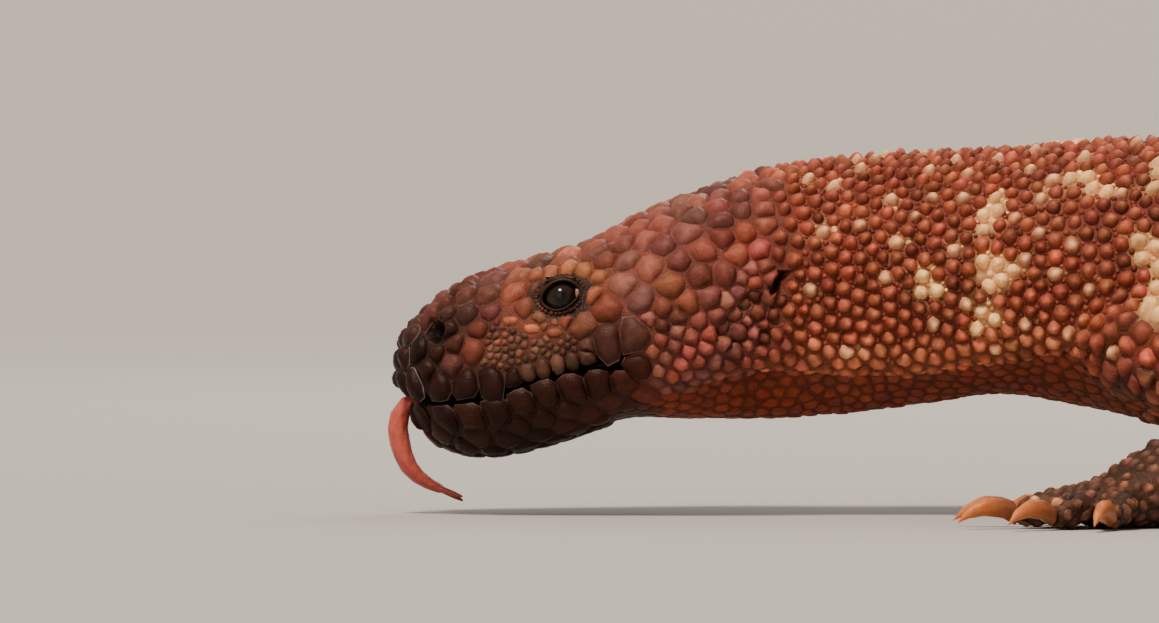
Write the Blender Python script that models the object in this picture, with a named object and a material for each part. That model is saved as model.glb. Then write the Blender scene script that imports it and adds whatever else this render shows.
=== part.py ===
"""A life-size beaded lizard, walking with its head held low and its forked tongue out.

Metres, +Z up. The animal faces -X, with its left side at -Y, and its soles lie on Z = 0. Distances called
"along" run back from the snout tip on the line of the spine. The body, legs and digits are lofted from
sections, and the bead scales are raised in the loft's own surface, one bead in each ring of six triangles.
"""

import math

import bmesh
import bpy
import numpy as np
from mathutils import Matrix, Vector

# Driving dimensions
VENT_ALONG = 0.380  # snout to vent
BODY_LENGTH = 0.640  # snout to tail tip
HEAD_END = 0.070  # just behind the ear
NECK_END = 0.112
TAIL_CUTS = (0.470, 0.560)
TOUCHING_GAP = 0.0003  # left between nodes that meet face to face
FLOOR_DIP = 0.0006  # how far soles and tail are modelled below the floor before they are trimmed flat

# Sections across the spine: along, back height, belly height, half width
BODY_SECTIONS = (
    (0.0000, 0.0256, 0.0254, 0.0002),
    (0.0007, 0.0296, 0.0214, 0.0046),
    (0.0022, 0.0320, 0.0192, 0.0076),
    (0.0042, 0.0340, 0.0148, 0.0098),
    (0.0070, 0.0364, 0.0118, 0.0121),
    (0.0110, 0.0391, 0.0099, 0.0144),
    (0.0160, 0.0412, 0.0093, 0.0166),
    (0.0220, 0.0431, 0.0102, 0.0187),
    (0.0300, 0.0452, 0.0124, 0.0209),
    (0.0350, 0.0469, 0.0142, 0.0223),
    (0.0400, 0.0500, 0.0160, 0.0237),
    (0.0460, 0.0527, 0.0160, 0.0247),
    (0.0550, 0.0560, 0.0155, 0.0243),
    (0.0630, 0.0588, 0.0154, 0.0219),
    (0.0710, 0.0602, 0.0155, 0.0207),
    (0.0820, 0.0616, 0.0162, 0.0211),
    (0.0920, 0.0619, 0.0174, 0.0222),
    (0.1040, 0.0625, 0.0192, 0.0244),
    (0.1180, 0.0636, 0.0180, 0.0276),
    (0.1400, 0.0648, 0.0134, 0.0318),
    (0.1700, 0.0662, 0.0104, 0.0362),
    (0.2100, 0.0670, 0.0084, 0.0392),
    (0.2500, 0.0668, 0.0076, 0.0400),
    (0.2900, 0.0650, 0.0076, 0.0380),
    (0.3250, 0.0618, 0.0084, 0.0330),
    (0.3550, 0.0580, 0.0094, 0.0276),
    (VENT_ALONG, 0.0540, 0.0098, 0.0228),
    (0.4050, 0.0486, 0.0078, 0.0198),
    (0.4350, 0.0416, 0.0044, 0.0176),
    (0.4650, 0.0356, 0.0012, 0.0158),
    (0.4950, 0.0304, -FLOOR_DIP, 0.0140),
    (0.5350, 0.0246, -FLOOR_DIP, 0.0116),
    (0.5750, 0.0188, -FLOOR_DIP, 0.0090),
    (0.6050, 0.0138, -FLOOR_DIP, 0.0067),
    (0.6280, 0.0092, -FLOOR_DIP, 0.0044),
    (BODY_LENGTH, 0.0040, 0.0036, 0.0003),
)
# The spine seen from above: along, sideways place. The walking trunk bows to the left, the tail swings back.
SPINE_SWAY = (
    (0.000, 0.000),
    (0.060, 0.000),
    (0.110, -0.001),
    (0.170, -0.007),
    (0.240, -0.011),
    (0.310, -0.006),
    (0.370, 0.004),
    (0.430, 0.014),
    (0.490, 0.016),
    (0.550, 0.006),
    (0.600, -0.011),
    (BODY_LENGTH, -0.026),
)
# How full the sections are: along, level of the widest point (share of height), squareness above and below it
SECTION_FULLNESS = (
    (0.000, 0.50, 2.2, 2.2),
    (0.010, 0.46, 2.5, 2.5),
    (0.030, 0.42, 2.5, 2.6),
    (0.050, 0.44, 2.4, 2.5),
    (0.070, 0.48, 2.2, 2.2),
    (0.110, 0.48, 2.2, 2.3),
    (0.150, 0.42, 2.15, 2.8),
    (0.250, 0.38, 2.1, 3.0),
    (0.350, 0.42, 2.1, 2.6),
    (0.430, 0.48, 2.05, 2.1),
    (BODY_LENGTH, 0.48, 2.0, 2.0),
)
# The loose skin fold along the throat and neck: along, height, how far the throat tucks in under it (share)
THROAT_FOLD = (
    (0.036, 0.0190, 0.00),
    (0.046, 0.0215, 0.10),
    (0.061, 0.0258, 0.22),
    (0.080, 0.0254, 0.24),
    (0.100, 0.0245, 0.22),
    (0.112, 0.0280, 0.14),
    (0.128, 0.0330, 0.00),
)
FOLD_SOFTNESS = 0.0035

# Bead scales: spacing of the loft's points, which is the beads' own spacing over root 3
BEAD_HEIGHT_SHARE = 0.27  # of the point spacing
BEAD_HEIGHT_MOST = 0.0014
BEAD_VARIATION = 0.22
GROOVE_SHARE = 0.36  # how much of the bead's height lies below the mean surface
BEADS_FADE = (0.47, 0.57)  # share of the way round from the back where the beads fade into flat scales
BELLY_FROM = 0.68  # share of the way round from the back where the belly's sparser points begin
BELLY_STRETCH = 0.42  # their number against the back's

# Head. The lines are pairs of along and height, seen from the side
EYE_CENTRE = Vector((0.0289, 0.0152, 0.0372))  # right eye, with the left one mirrored
EYE_RADIUS = 0.0033
EYE_FINENESS = 2  # subdivisions of eyeball and socket alike, so that they keep their gap
EYE_LOOKS = Vector((-0.12, 0.95, 0.16)).normalized()
EYE_TILT = math.radians(-8)
LID_HALF_LENGTH, LID_HALF_HEIGHT, LID_THICKNESS = 0.0041, 0.0029, 0.0010
MOUTH_LINE = (
    (-0.002, 0.0196),
    (0.003, 0.0195),
    (0.010, 0.0193),
    (0.016, 0.0201),
    (0.021, 0.0216),
    (0.027, 0.0237),
    (0.034, 0.0253),
    (0.042, 0.0262),
)
JAW_BACK = ((0.0445, 0.0215), (0.0455, 0.0165), (0.0450, 0.0050))
MOUTH_GAPE = (0.0016, 0.0007, TOUCHING_GAP)  # at the front, half way and at the corner
LIP_RADIUS = 0.0013
NOSTRIL = (0.0078, 0.0312)  # along, height
NOSTRIL_RADIUS = 0.0010
EAR_TOP, EAR_BOTTOM = (0.0664, 0.0418), (0.0642, 0.0370)
EAR_HALF_WIDTH, EAR_DEPTH = 0.0009, 0.0022
BROW_SCALES = ((0.0246, 0.0413), (0.0322, 0.0424))  # along, height
BROW_SCALE_HALF = (0.0039, 0.0014, 0.0015)

# The tongue, a flat ribbon that curls down from the lips and back under the chin
# Along, height, half width, half depth
TONGUE_PATH = (
    (0.0090, 0.0190, 0.0022, 0.0012),
    (0.0050, 0.0193, 0.0023, 0.0013),
    (0.0020, 0.0186, 0.0023, 0.0015),
    (0.0008, 0.0160, 0.0024, 0.0018),
    (0.0012, 0.0115, 0.0024, 0.0018),
    (0.0030, 0.0074, 0.0022, 0.0015),
    (0.0058, 0.0052, 0.0019, 0.0011),
    (0.0082, 0.0041, 0.0017, 0.0008),
)
TONGUE_TINE = (0.0041, 0.0010)  # length, thickness at the root

# Legs: root inside the trunk, shoulder or hip, elbow or knee, wrist or ankle, and where the hand or foot points
# Thicknesses are radii: at the root, twice in the upper length, at the bend, half way on, and at the ankle
FORELEG_THICKNESS = (0.0108, 0.0106, 0.0096, 0.0088, 0.0084, 0.0068)
HINDLEG_THICKNESS = (0.0150, 0.0142, 0.0120, 0.0102, 0.0096, 0.0074)
LEGS = {
    "fore_left": dict(
        root=(0.121, -0.008, 0.034), joint=(0.124, -0.026, 0.030), bend=(0.158, -0.056, 0.0190),
        ankle=(0.130, -0.070, 0.0088), points=(-0.96, -0.28), thickness=FORELEG_THICKNESS, fore=True,
    ),
    "fore_right": dict(
        root=(0.122, 0.008, 0.034), joint=(0.124, 0.026, 0.031), bend=(0.155, 0.047, 0.024),
        ankle=(0.177, 0.070, 0.0088), points=(-0.80, 0.60), thickness=FORELEG_THICKNESS, fore=True,
    ),
    "hind_left": dict(
        root=(0.352, -0.004, 0.032), joint=(0.351, -0.026, 0.030), bend=(0.362, -0.061, 0.026),
        ankle=(0.389, -0.077, 0.0094), points=(-0.70, -0.71), thickness=HINDLEG_THICKNESS, fore=False,
    ),
    "hind_right": dict(
        root=(0.348, 0.006, 0.032), joint=(0.345, 0.028, 0.030), bend=(0.321, 0.060, 0.027),
        ankle=(0.338, 0.085, 0.0094), points=(-0.90, 0.44), thickness=HINDLEG_THICKNESS, fore=False,
    ),
}
LEG_NODE_NAMES = {True: ("upper_arm", "forearm", "hand"), False: ("thigh", "shin", "foot")}
# Digits, from the inner to the outer: direction off the foot's own, length past the palm
FORE_DIGITS = ((-52, 0.0095), (-24, 0.0130), (2, 0.0142), (27, 0.0130), (56, 0.0098))
HIND_DIGITS = ((-50, 0.0105), (-25, 0.0140), (-2, 0.0160), (22, 0.0160), (52, 0.0115))
DIGIT_RADIUS = 0.0031
CLAW_LENGTH = 0.0110
CLAW_RADIUS = 0.0019
PALM_LENGTH = 0.0150
PALM_MIDDLE = 0.0072

SHARP_ANGLE = math.radians(50)
MERGE_DISTANCE = 0.000002
# Colour and roughness of each sub-part, by the first word of its name
FINISHES = {
    "head": ((0.150, 0.055, 0.038), 0.50),
    "lower": ((0.035, 0.020, 0.017), 0.48),
    "neck": ((0.190, 0.062, 0.036), 0.55),
    "torso": ((0.150, 0.058, 0.036), 0.55),
    "tail": ((0.120, 0.050, 0.034), 0.55),
    "upper": ((0.130, 0.050, 0.034), 0.55),
    "forearm": ((0.120, 0.046, 0.032), 0.55),
    "thigh": ((0.130, 0.050, 0.034), 0.55),
    "shin": ((0.120, 0.046, 0.032), 0.55),
    "hand": ((0.060, 0.030, 0.024), 0.52),
    "foot": ((0.060, 0.030, 0.024), 0.52),
    "tongue": ((0.520, 0.110, 0.095), 0.28),
    "eye": ((0.012, 0.010, 0.010), 0.08),
    "claw": ((0.300, 0.150, 0.070), 0.35),
}

random = np.random.default_rng(7)


def smooth_curve(knots, values, at):
    """Reads a smooth curve through the knots at one place."""
    knots = np.asarray(knots, float)
    values = np.asarray(values, float)
    slopes = np.gradient(values, knots, axis=0)
    i = int(np.clip(np.searchsorted(knots, at) - 1, 0, len(knots) - 2))
    width = knots[i + 1] - knots[i]
    t = np.clip((at - knots[i]) / width, 0, 1)
    return (
        (2 * t**3 - 3 * t**2 + 1) * values[i]
        + (t**3 - 2 * t**2 + t) * width * slopes[i]
        + (3 * t**2 - 2 * t**3) * values[i + 1]
        + (t**3 - t**2) * width * slopes[i + 1]
    )


def table(rows, at):
    """Reads the other columns of a table whose first column is the distance along."""
    rows = np.array(rows, float)
    return smooth_curve(rows[:, 0], rows[:, 1:], at)


def body_section(along):
    """Back height, belly height and half width. The root of the distance makes the snout round."""
    rows = np.array(BODY_SECTIONS)
    return smooth_curve(np.sqrt(rows[:, 0]), rows[:, 1:], math.sqrt(along))


def smooth_step(x):
    x = np.clip(x, 0, 1)
    return x * x * (3 - 2 * x)


def ring(centre, right, up, half_width, rise, drop, count, phase, squareness=(2, 2), tuck=None, belly=1.0):
    """Points round one section, evenly spaced from its top, with their share of the way from top to bottom."""
    turn = np.linspace(0, 2 * math.pi, 121)
    power = np.where(np.cos(turn) > 0, squareness[0], squareness[1])
    across = half_width * np.sign(np.sin(turn)) * np.abs(np.sin(turn)) ** (2 / power)
    above = np.where(np.cos(turn) > 0, rise, drop) * np.sign(np.cos(turn)) * np.abs(np.cos(turn)) ** (2 / power)
    if tuck:
        level, share = tuck
        across = across * (1 - share * smooth_step((level - above) / FOLD_SOFTNESS))
    step = np.hypot(np.diff(across), np.diff(above))
    low = np.abs(turn[1:] - math.pi) < math.pi * (1 - BELLY_FROM)
    length = np.concatenate([[0], np.cumsum(step * np.where(low, belly, 1.0))])
    wanted = (np.arange(count) + phase) / count * length[-1]
    at = np.interp(wanted, length, turn)
    across = np.interp(wanted, length, across)
    above = np.interp(wanted, length, above)
    points = [Vector(centre) + right * a + up * b for a, b in zip(across, above)]
    return points, 1 - np.abs(at / math.pi - 1)


def bead_mask(share_down):
    return 1 - smooth_step((share_down - BEADS_FADE[0]) / (BEADS_FADE[1] - BEADS_FADE[0]))


def lofted(name, rings, shares=None, start=None, end=None, beads=None):
    """A closed mesh through rings of points that are turned by half a step in every second ring.

    start and end are single points that close it, or None for a flat cap. beads gives each ring's strength:
    every third point is raised, so that beads sit in staggered rows round the body.
    """
    count = len(rings[0])
    mesh = bmesh.new()
    rows = [[mesh.verts.new(p) for p in points] for points in rings]
    for i, (near, far) in enumerate(zip(rows, rows[1:])):
        for j in range(count):
            k = (j + 1) % count
            if i % 2 == 0:
                mesh.faces.new((near[j], near[k], far[j]))
                mesh.faces.new((near[k], far[k], far[j]))
            else:
                mesh.faces.new((near[j], far[k], far[j]))
                mesh.faces.new((near[j], near[k], far[k]))
    for row, pole in ((rows[0], start), (rows[-1], end)):
        if pole is None:
            mesh.faces.new(row)
            continue
        tip = mesh.verts.new(pole)
        for j in range(count):
            mesh.faces.new((row[j], row[(j + 1) % count], tip))
    bmesh.ops.recalc_face_normals(mesh, faces=mesh.faces)
    mesh.normal_update()
    if beads is not None:
        raise_beads(rows, beads, shares)
    return finished(name, mesh)


def raise_beads(rows, strengths, shares):
    moves = []
    for i, row in enumerate(rows):
        for j, vertex in enumerate(row):
            spacing = (vertex.co - row[(j + 1) % len(row)].co).length
            height = min(BEAD_HEIGHT_SHARE * spacing, BEAD_HEIGHT_MOST) * strengths[i] * bead_mask(shares[i][j])
            top = (j - (i - i % 2) // 2 - i) % 3 == 0
            vary = 1 + BEAD_VARIATION * random.uniform(-1, 1)
            share = (1 - GROOVE_SHARE) * vary if top else -GROOVE_SHARE
            moves.append((vertex, vertex.normal * height * share))
    for vertex, move in moves:
        vertex.co += move


def finished(name, mesh):
    data = bpy.data.meshes.new(name)
    mesh.to_mesh(data)
    mesh.free()
    made = bpy.data.objects.new(name, data)
    animal.objects.link(made)
    return made


def baked(obj):
    """Makes the object's evaluated shape its own mesh."""
    graph = bpy.context.evaluated_depsgraph_get()
    data = bpy.data.meshes.new_from_object(obj.evaluated_get(graph))
    obj.modifiers.clear()
    obj.data = data


def keep_largest(obj):
    """Drops any scrap that a Boolean left beside the largest closed surface, and edges of no length."""
    mesh = bmesh.new()
    mesh.from_mesh(obj.data)
    left = set(mesh.verts)
    bodies = []
    while left:
        found, edge = set(), [left.pop()]
        while edge:
            vertex = edge.pop()
            found.add(vertex)
            fresh = [e.other_vert(vertex) for e in vertex.link_edges if e.other_vert(vertex) in left]
            left.difference_update(fresh)
            edge += fresh
        bodies.append(found)
    bodies.sort(key=lambda body: sum(f.calc_area() for v in body for f in v.link_faces))
    for body in bodies[:-1]:
        bmesh.ops.delete(mesh, geom=list(body), context="VERTS")
    bmesh.ops.dissolve_degenerate(mesh, edges=mesh.edges, dist=MERGE_DISTANCE)
    mesh.to_mesh(obj.data)
    mesh.free()


def combine(obj, others, operation, solver="EXACT"):
    """Joins or cuts closed meshes with one Boolean, applied, and removes the others."""
    group = bpy.data.collections.new("pieces for " + obj.name)
    bpy.context.scene.collection.children.link(group)
    for other in others:
        group.objects.link(other)
    modifier = obj.modifiers.new(operation.lower(), "BOOLEAN")
    modifier.operand_type = "COLLECTION"
    modifier.collection = group
    modifier.operation = operation
    modifier.solver = solver
    baked(obj)
    for other in others:
        bpy.data.objects.remove(other)
    bpy.data.collections.remove(group)
    keep_largest(obj)


def copy_of(obj, name):
    made = obj.copy()
    made.data = obj.data.copy()
    made.name = name
    animal.objects.link(made)
    return made


def grown(obj, by):
    """A copy whose surface stands out by the touching gap, for cutting a root that meets it."""
    made = copy_of(obj, obj.name + " grown")
    mesh = bmesh.new()
    mesh.from_mesh(made.data)
    mesh.normal_update()
    for vertex, normal in [(v, v.normal.copy()) for v in mesh.verts]:
        vertex.co += normal * by
    mesh.to_mesh(made.data)
    mesh.free()
    return made


def cut_flat(obj, place, away):
    """Cuts off what lies beyond a plane, in the direction away, and closes the flat cut."""
    mesh = bmesh.new()
    mesh.from_mesh(obj.data)
    everything = list(mesh.verts) + list(mesh.edges) + list(mesh.faces)
    bmesh.ops.bisect_plane(mesh, geom=everything, dist=0.00001, plane_co=place, plane_no=away, clear_outer=True)
    bmesh.ops.edgeloop_fill(mesh, edges=[e for e in mesh.edges if e.is_boundary])
    bmesh.ops.recalc_face_normals(mesh, faces=mesh.faces)
    mesh.to_mesh(obj.data)
    mesh.free()


def trimmed_at_floor(obj):
    """Cuts off what dips below the floor, with a block whose top is the floor's level."""
    mesh = bmesh.new()
    block = 2 * BODY_LENGTH
    bmesh.ops.create_cube(mesh, size=block)
    bmesh.ops.translate(mesh, verts=mesh.verts, vec=(BODY_LENGTH / 2, 0, -block / 2))
    combine(obj, [finished("ground", mesh)], "DIFFERENCE", "MANIFOLD")


# The spine and the body's sections


def spine_frame(along):
    """Place on the floor below the spine, and the direction to the animal's side of +Y there."""
    y = table(SPINE_SWAY, along)[0]
    step = 0.002
    before, after = max(along - step, 0), min(along + step, BODY_LENGTH)
    slope = (table(SPINE_SWAY, after)[0] - table(SPINE_SWAY, before)[0]) / (after - before)
    forward = Vector((1, slope, 0)).normalized()
    return Vector((along, y, 0)), Vector((-forward.y, forward.x, 0))


def body_ring(along, count, phase):
    top, bottom, half = body_section(along)
    widest, square_top, square_bottom = table(SECTION_FULLNESS, along)
    level = bottom + (top - bottom) * widest
    foot, side = spine_frame(along)
    fold_height, share = table(THROAT_FOLD, np.clip(along, THROAT_FOLD[0][0], THROAT_FOLD[-1][0]))
    return ring(
        foot + Vector((0, 0, level)), side, Vector((0, 0, 1)), half, top - level, level - bottom, count, phase,
        (square_top, square_bottom), (fold_height - level, max(share, 0)), BELLY_STRETCH,
    )


def flank(along, height):
    """Half the body's width at a height."""
    top, bottom, half = body_section(along)
    widest, square_top, square_bottom = table(SECTION_FULLNESS, along)
    level = bottom + (top - bottom) * widest
    if height > level:
        away, power = (height - level) / (top - level), square_top
    else:
        away, power = (level - height) / (level - bottom), square_bottom
    return half * (1 - min(abs(away), 0.999) ** power) ** (1 / power)


def even_stations(start, end, step):
    """Distances along whose rings lie about one step apart on the back's own line."""
    fine = np.linspace(math.sqrt(start), math.sqrt(end), 400) ** 2
    backs = np.array([body_section(a)[0] for a in fine])
    length = np.concatenate([[0], np.cumsum(np.hypot(np.diff(fine), np.diff(backs)))])
    count = max(2, round(length[-1] / step))
    return np.interp(np.linspace(0, length[-1], count + 1), length, fine)


def body_length_piece(name, start, end, count, step, strength=1.0, nose=False, tail_tip=False):
    """One length of the body between two flat cuts, or out to the snout or the tail's tip."""
    start += 0 if nose else TOUCHING_GAP / 2
    end -= 0 if tail_tip else TOUCHING_GAP / 2
    places = even_stations(start, end, step)
    if nose:
        places = places[1:]
    if tail_tip:
        places = places[:-1]
    rings, shares, strengths = [], [], []
    for i, along in enumerate(places):
        points, share = body_ring(along, count, 0.5 * (i % 2))
        rings.append(points)
        shares.append(share)
        flat_cut = (i == 0 and not nose) or (i == len(places) - 1 and not tail_tip)
        strengths.append(0 if flat_cut else strength * (0.5 if nose and along < 0.004 else 1))
    start_pole = spine_frame(0)[0] + Vector((0, 0, BODY_SECTIONS[0][1])) if nose else None
    end_pole = spine_frame(BODY_LENGTH)[0] + Vector((0, 0, BODY_SECTIONS[-1][1])) if tail_tip else None
    return lofted(name, rings, shares, start_pole, end_pole, strengths)


# Head pieces


def tube(name, places, radius, closed=False):
    """A six-sided bar along the places, thinner towards its two ends if it isn't closed."""
    curve = bpy.data.curves.new(name, "CURVE")
    curve.dimensions = "3D"
    spline = curve.splines.new("POLY")
    spline.points.add(len(places) - 1)
    for i, (point, place) in enumerate(zip(spline.points, places)):
        point.co = (*place, 1)
        if not closed:
            point.radius = min(1, 0.55 + 0.25 * i, 0.4 + 0.25 * (len(places) - 1 - i))
    spline.use_cyclic_u = closed
    curve.bevel_depth = radius
    curve.bevel_resolution = 1
    curve.use_fill_caps = not closed
    holder = bpy.data.objects.new(name, curve)
    animal.objects.link(holder)
    graph = bpy.context.evaluated_depsgraph_get()
    data = bpy.data.meshes.new_from_object(holder.evaluated_get(graph))
    made = bpy.data.objects.new(name, data)
    animal.objects.link(made)
    bpy.data.objects.remove(holder)
    mesh = bmesh.new()
    mesh.from_mesh(data)
    bmesh.ops.remove_doubles(mesh, verts=mesh.verts, dist=0.00001)
    bmesh.ops.recalc_face_normals(mesh, faces=mesh.faces)
    mesh.to_mesh(data)
    mesh.free()
    return made


def ball(name, centre, radii, turn=None, fineness=2):
    mesh = bmesh.new()
    bmesh.ops.create_icosphere(mesh, subdivisions=fineness, radius=1)
    place = Matrix.Translation(centre) @ (turn.to_4x4() if turn else Matrix()) @ Matrix.Diagonal((*radii, 1))
    bmesh.ops.transform(mesh, matrix=place, verts=mesh.verts)
    return finished(name, mesh)


def mirrored(place, side):
    return Vector((place[0], place[1] * side, place[2]))


def eye_axes(side):
    """The eye's outward, forward and upward directions."""
    out = mirrored(EYE_LOOKS, side)
    ahead = Vector((-1, 0, math.tan(EYE_TILT)))
    ahead = (ahead - out * ahead.dot(out)).normalized()
    up = out.cross(ahead) * side
    return out, ahead, up if up.z > 0 else -up


def lid_rim(side):
    """The thick edge of the two lids, an oval ring that lies round the eyeball."""
    out, ahead, up = eye_axes(side)
    centre = mirrored(EYE_CENTRE, side) + out * (EYE_RADIUS * 0.80)
    turns = [2 * math.pi * i / 14 for i in range(14)]
    places = [
        centre + ahead * LID_HALF_LENGTH * math.cos(a) + up * LID_HALF_HEIGHT * math.sin(a)
        - out * 0.0011 * math.cos(a) ** 2
        for a in turns
    ]
    return tube("lids", places, LID_THICKNESS, closed=True)


def lip(side, offset):
    """The thickened row of scales along one lip."""
    places = []
    for along in np.linspace(0.0045, 0.041, 10):
        height = table(MOUTH_LINE, along)[0] + offset
        places.append((along, side * (flank(along, height) - LIP_RADIUS * 0.55), height))
    return tube("lip", places, LIP_RADIUS)


def mouth_region(name, lift):
    """The space of the lower jaw, below the mouth's line and ahead of its back, moved up and back by lift."""
    mesh = bmesh.new()
    edge = []
    for i, (along, height) in enumerate(MOUTH_LINE):
        gape = smooth_curve((0, 0.5, 1), MOUTH_GAPE, i / (len(MOUTH_LINE) - 1))
        edge.append((along, height + lift * gape / 2))
    edge += [(along + lift * TOUCHING_GAP / 2, height) for along, height in JAW_BACK]
    edge.append((MOUTH_LINE[0][0], JAW_BACK[-1][1]))
    half = 0.04
    outline = [mesh.verts.new((along, -half, height)) for along, height in edge]
    face = mesh.faces.new(outline)
    side = bmesh.ops.extrude_face_region(mesh, geom=[face])
    moved = [v for v in side["geom"] if isinstance(v, bmesh.types.BMVert)]
    bmesh.ops.translate(mesh, verts=moved, vec=(0, 2 * half, 0))
    bmesh.ops.recalc_face_normals(mesh, faces=mesh.faces)
    return finished(name, mesh)


def socket(side, name="socket"):
    return ball(name, mirrored(EYE_CENTRE, side), (EYE_RADIUS + TOUCHING_GAP,) * 3, fineness=EYE_FINENESS)


def nostril_hole(side):
    along, height = NOSTRIL
    at = (along, side * flank(along, height), height)
    return ball("nostril", at, (NOSTRIL_RADIUS, 0.0016, NOSTRIL_RADIUS))


def ear_hole(side):
    middle = [(a + b) / 2 for a, b in zip(EAR_TOP, EAR_BOTTOM)]
    lean = math.atan2(EAR_TOP[0] - EAR_BOTTOM[0], EAR_TOP[1] - EAR_BOTTOM[1])
    half_length = math.dist(EAR_TOP, EAR_BOTTOM) / 2
    at = (middle[0], side * flank(*middle), middle[1])
    return ball("ear", at, (EAR_HALF_WIDTH, EAR_DEPTH, half_length), Matrix.Rotation(lean, 3, "Y"))


def brow(side):
    """The long scales that shade the eye, laid along the edge of the head's flat top."""
    scales = []
    for along, height in BROW_SCALES:
        step = 0.002
        rise = math.atan2(-0.3 * step, step)
        spread = math.atan2(flank(along + step, height) - flank(along - step, height), 2 * step)
        at = (along, side * (flank(along, height) - 0.0002), height)
        turn = Matrix.Rotation(side * spread, 3, "Z") @ Matrix.Rotation(rise, 3, "Y")
        scales.append(ball("brow scale", at, BROW_SCALE_HALF, turn))
    return scales


def tongue_piece():
    """A flat ribbon with two short tines at its tip."""
    path = np.array(TONGUE_PATH)
    length = np.concatenate([[0], np.cumsum(np.hypot(np.diff(path[:, 0]), np.diff(path[:, 1])))])
    rings = []
    for i, at in enumerate(np.linspace(0, length[-1], 12)):
        x, z, half_width, half_depth = smooth_curve(length, path, at)
        step = 0.0004
        ahead = smooth_curve(length, path[:, :2], min(at + step, length[-1]))
        behind = smooth_curve(length, path[:, :2], max(at - step, 0))
        tangent = Vector((ahead[0] - behind[0], 0, ahead[1] - behind[1])).normalized()
        up = Vector((-tangent.z, 0, tangent.x))
        points, _ = ring((x, 0, z), Vector((0, 1, 0)), up, half_width, half_depth, half_depth, 8, 0.5 * (i % 2))
        rings.append(points)
    tip = Vector((path[-1, 0], 0, path[-1, 1]))
    body = lofted("tongue", rings, end=tip + tangent * 0.0006)
    tines = []
    tine_length, thick = TONGUE_TINE
    for side in (-1, 1):
        places = [(-0.5, 0.0006, 1.0), (0.35, 0.0011, 0.85), (0.75, 0.0017, 0.6), (1.0, 0.0021, 0.35)]
        tine_rings = []
        for i, (t, spread, size) in enumerate(places):
            centre = tip + tangent * tine_length * t + Vector((0, side * spread, -0.0004 * side * t))
            up = Vector((-tangent.z, 0, tangent.x))
            size *= thick
            points, _ = ring(centre, Vector((0, 1, 0)), up, size, size * 0.7, size * 0.7, 6, 0.5 * (i % 2))
            tine_rings.append(points)
        tines.append(lofted("tine", tine_rings))
    combine(body, tines, "UNION")
    return body


def head_and_jaw():
    shell = body_length_piece("head", 0, HEAD_END, 36, 0.0031, strength=0.95, nose=True)
    extras = []
    for side in (-1, 1):
        extras += [lid_rim(side), lip(side, 0.0019), lip(side, -0.0019), *brow(side)]
    combine(shell, extras, "UNION")
    jaw = copy_of(shell, "lower_jaw")
    combine(jaw, [mouth_region("jaw space", -1)], "INTERSECT")
    combine(shell, [mouth_region("mouth cut", 1)], "DIFFERENCE")
    for side in (-1, 1):
        combine(shell, [socket(side), nostril_hole(side), ear_hole(side)], "DIFFERENCE")
    for cut in (shell, jaw):
        combine(cut, [grown(bpy.data.objects["tongue"], TOUCHING_GAP)], "DIFFERENCE")
    return shell, jaw


# Legs


def limb_axes(tangent, hint):
    right = tangent.cross(hint).normalized()
    return right, right.cross(tangent)


def limb_line(leg):
    """The leg's centre line and thickness by length, from inside the trunk to the ankle, with rounded bends."""
    corners = [np.array(leg[k]) for k in ("root", "joint", "bend", "ankle")]
    for _ in range(4):
        cut = [corners[0]]
        for near, far in zip(corners, corners[1:]):
            cut += [near * 0.75 + far * 0.25, near * 0.25 + far * 0.75]
        corners = [*cut, corners[-1]]
    line = np.array(corners)
    length = np.concatenate([[0], np.cumsum(np.linalg.norm(np.diff(line, axis=0), axis=1))])
    bend_at = length[np.argmin(np.linalg.norm(line - np.array(leg["bend"]), axis=1))]
    return length, line, bend_at


def limb_place(leg, at):
    """Where the leg's centre line is at a length, and its direction there."""
    length, line, _ = limb_line(leg)
    here, ahead, behind = (
        Vector([np.interp(place, length, line[:, axis]) for axis in range(3)])
        for place in (at, min(at + 0.002, length[-1]), max(at - 0.002, 0))
    )
    return here, (ahead - behind).normalized()


def limb_radius(leg, at):
    length, _, bend_at = limb_line(leg)
    places = (0, bend_at * 0.3, bend_at * 0.7, bend_at, (bend_at + length[-1]) / 2, length[-1])
    return smooth_curve(places, leg["thickness"], at)


def limb_piece(name, leg, start, end, count, step):
    side = math.copysign(1, leg["joint"][1])
    hint = Vector((0, side * 0.5, 1)).normalized()
    stations = np.linspace(start, end, max(3, round((end - start) / step)) + 1)
    rings, shares, strengths = [], [], []
    for i, at in enumerate(stations):
        (x, y, z), tangent = limb_place(leg, at)
        radius = limb_radius(leg, at)
        right, up = limb_axes(tangent, hint)
        points, share = ring((x, y, z), right, up, radius, radius, radius * 0.94, count, 0.5 * (i % 2))
        rings.append(points)
        shares.append(share)
        strengths.append(0 if i in (0, len(stations) - 1) else 1.0)
    return lofted(name, rings, shares, beads=strengths)


def digit_line(leg, angle, reach, palm):
    """Five places from inside the palm to the digit's end: a knuckle that rises, then a pad on the floor."""
    side = math.copysign(1, leg["joint"][1])
    points = Vector((*leg["points"], 0)).normalized()
    # The inner digit points towards the midline on both sides
    direction = points.copy()
    direction.rotate(Matrix.Rotation(math.radians(-angle * side), 3, "Z"))
    start = palm + direction * 0.0030
    heights = (0.0040, 0.0046, 0.0040, 0.0030, DIGIT_RADIUS * 0.72)
    places = []
    for share, height in zip((0, 0.3, 0.55, 0.8, 1.0), heights):
        place = start + direction * (PALM_LENGTH * 0.42 + reach - 0.003) * share
        places.append(Vector((place.x, place.y, height)))
    return places, direction


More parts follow.
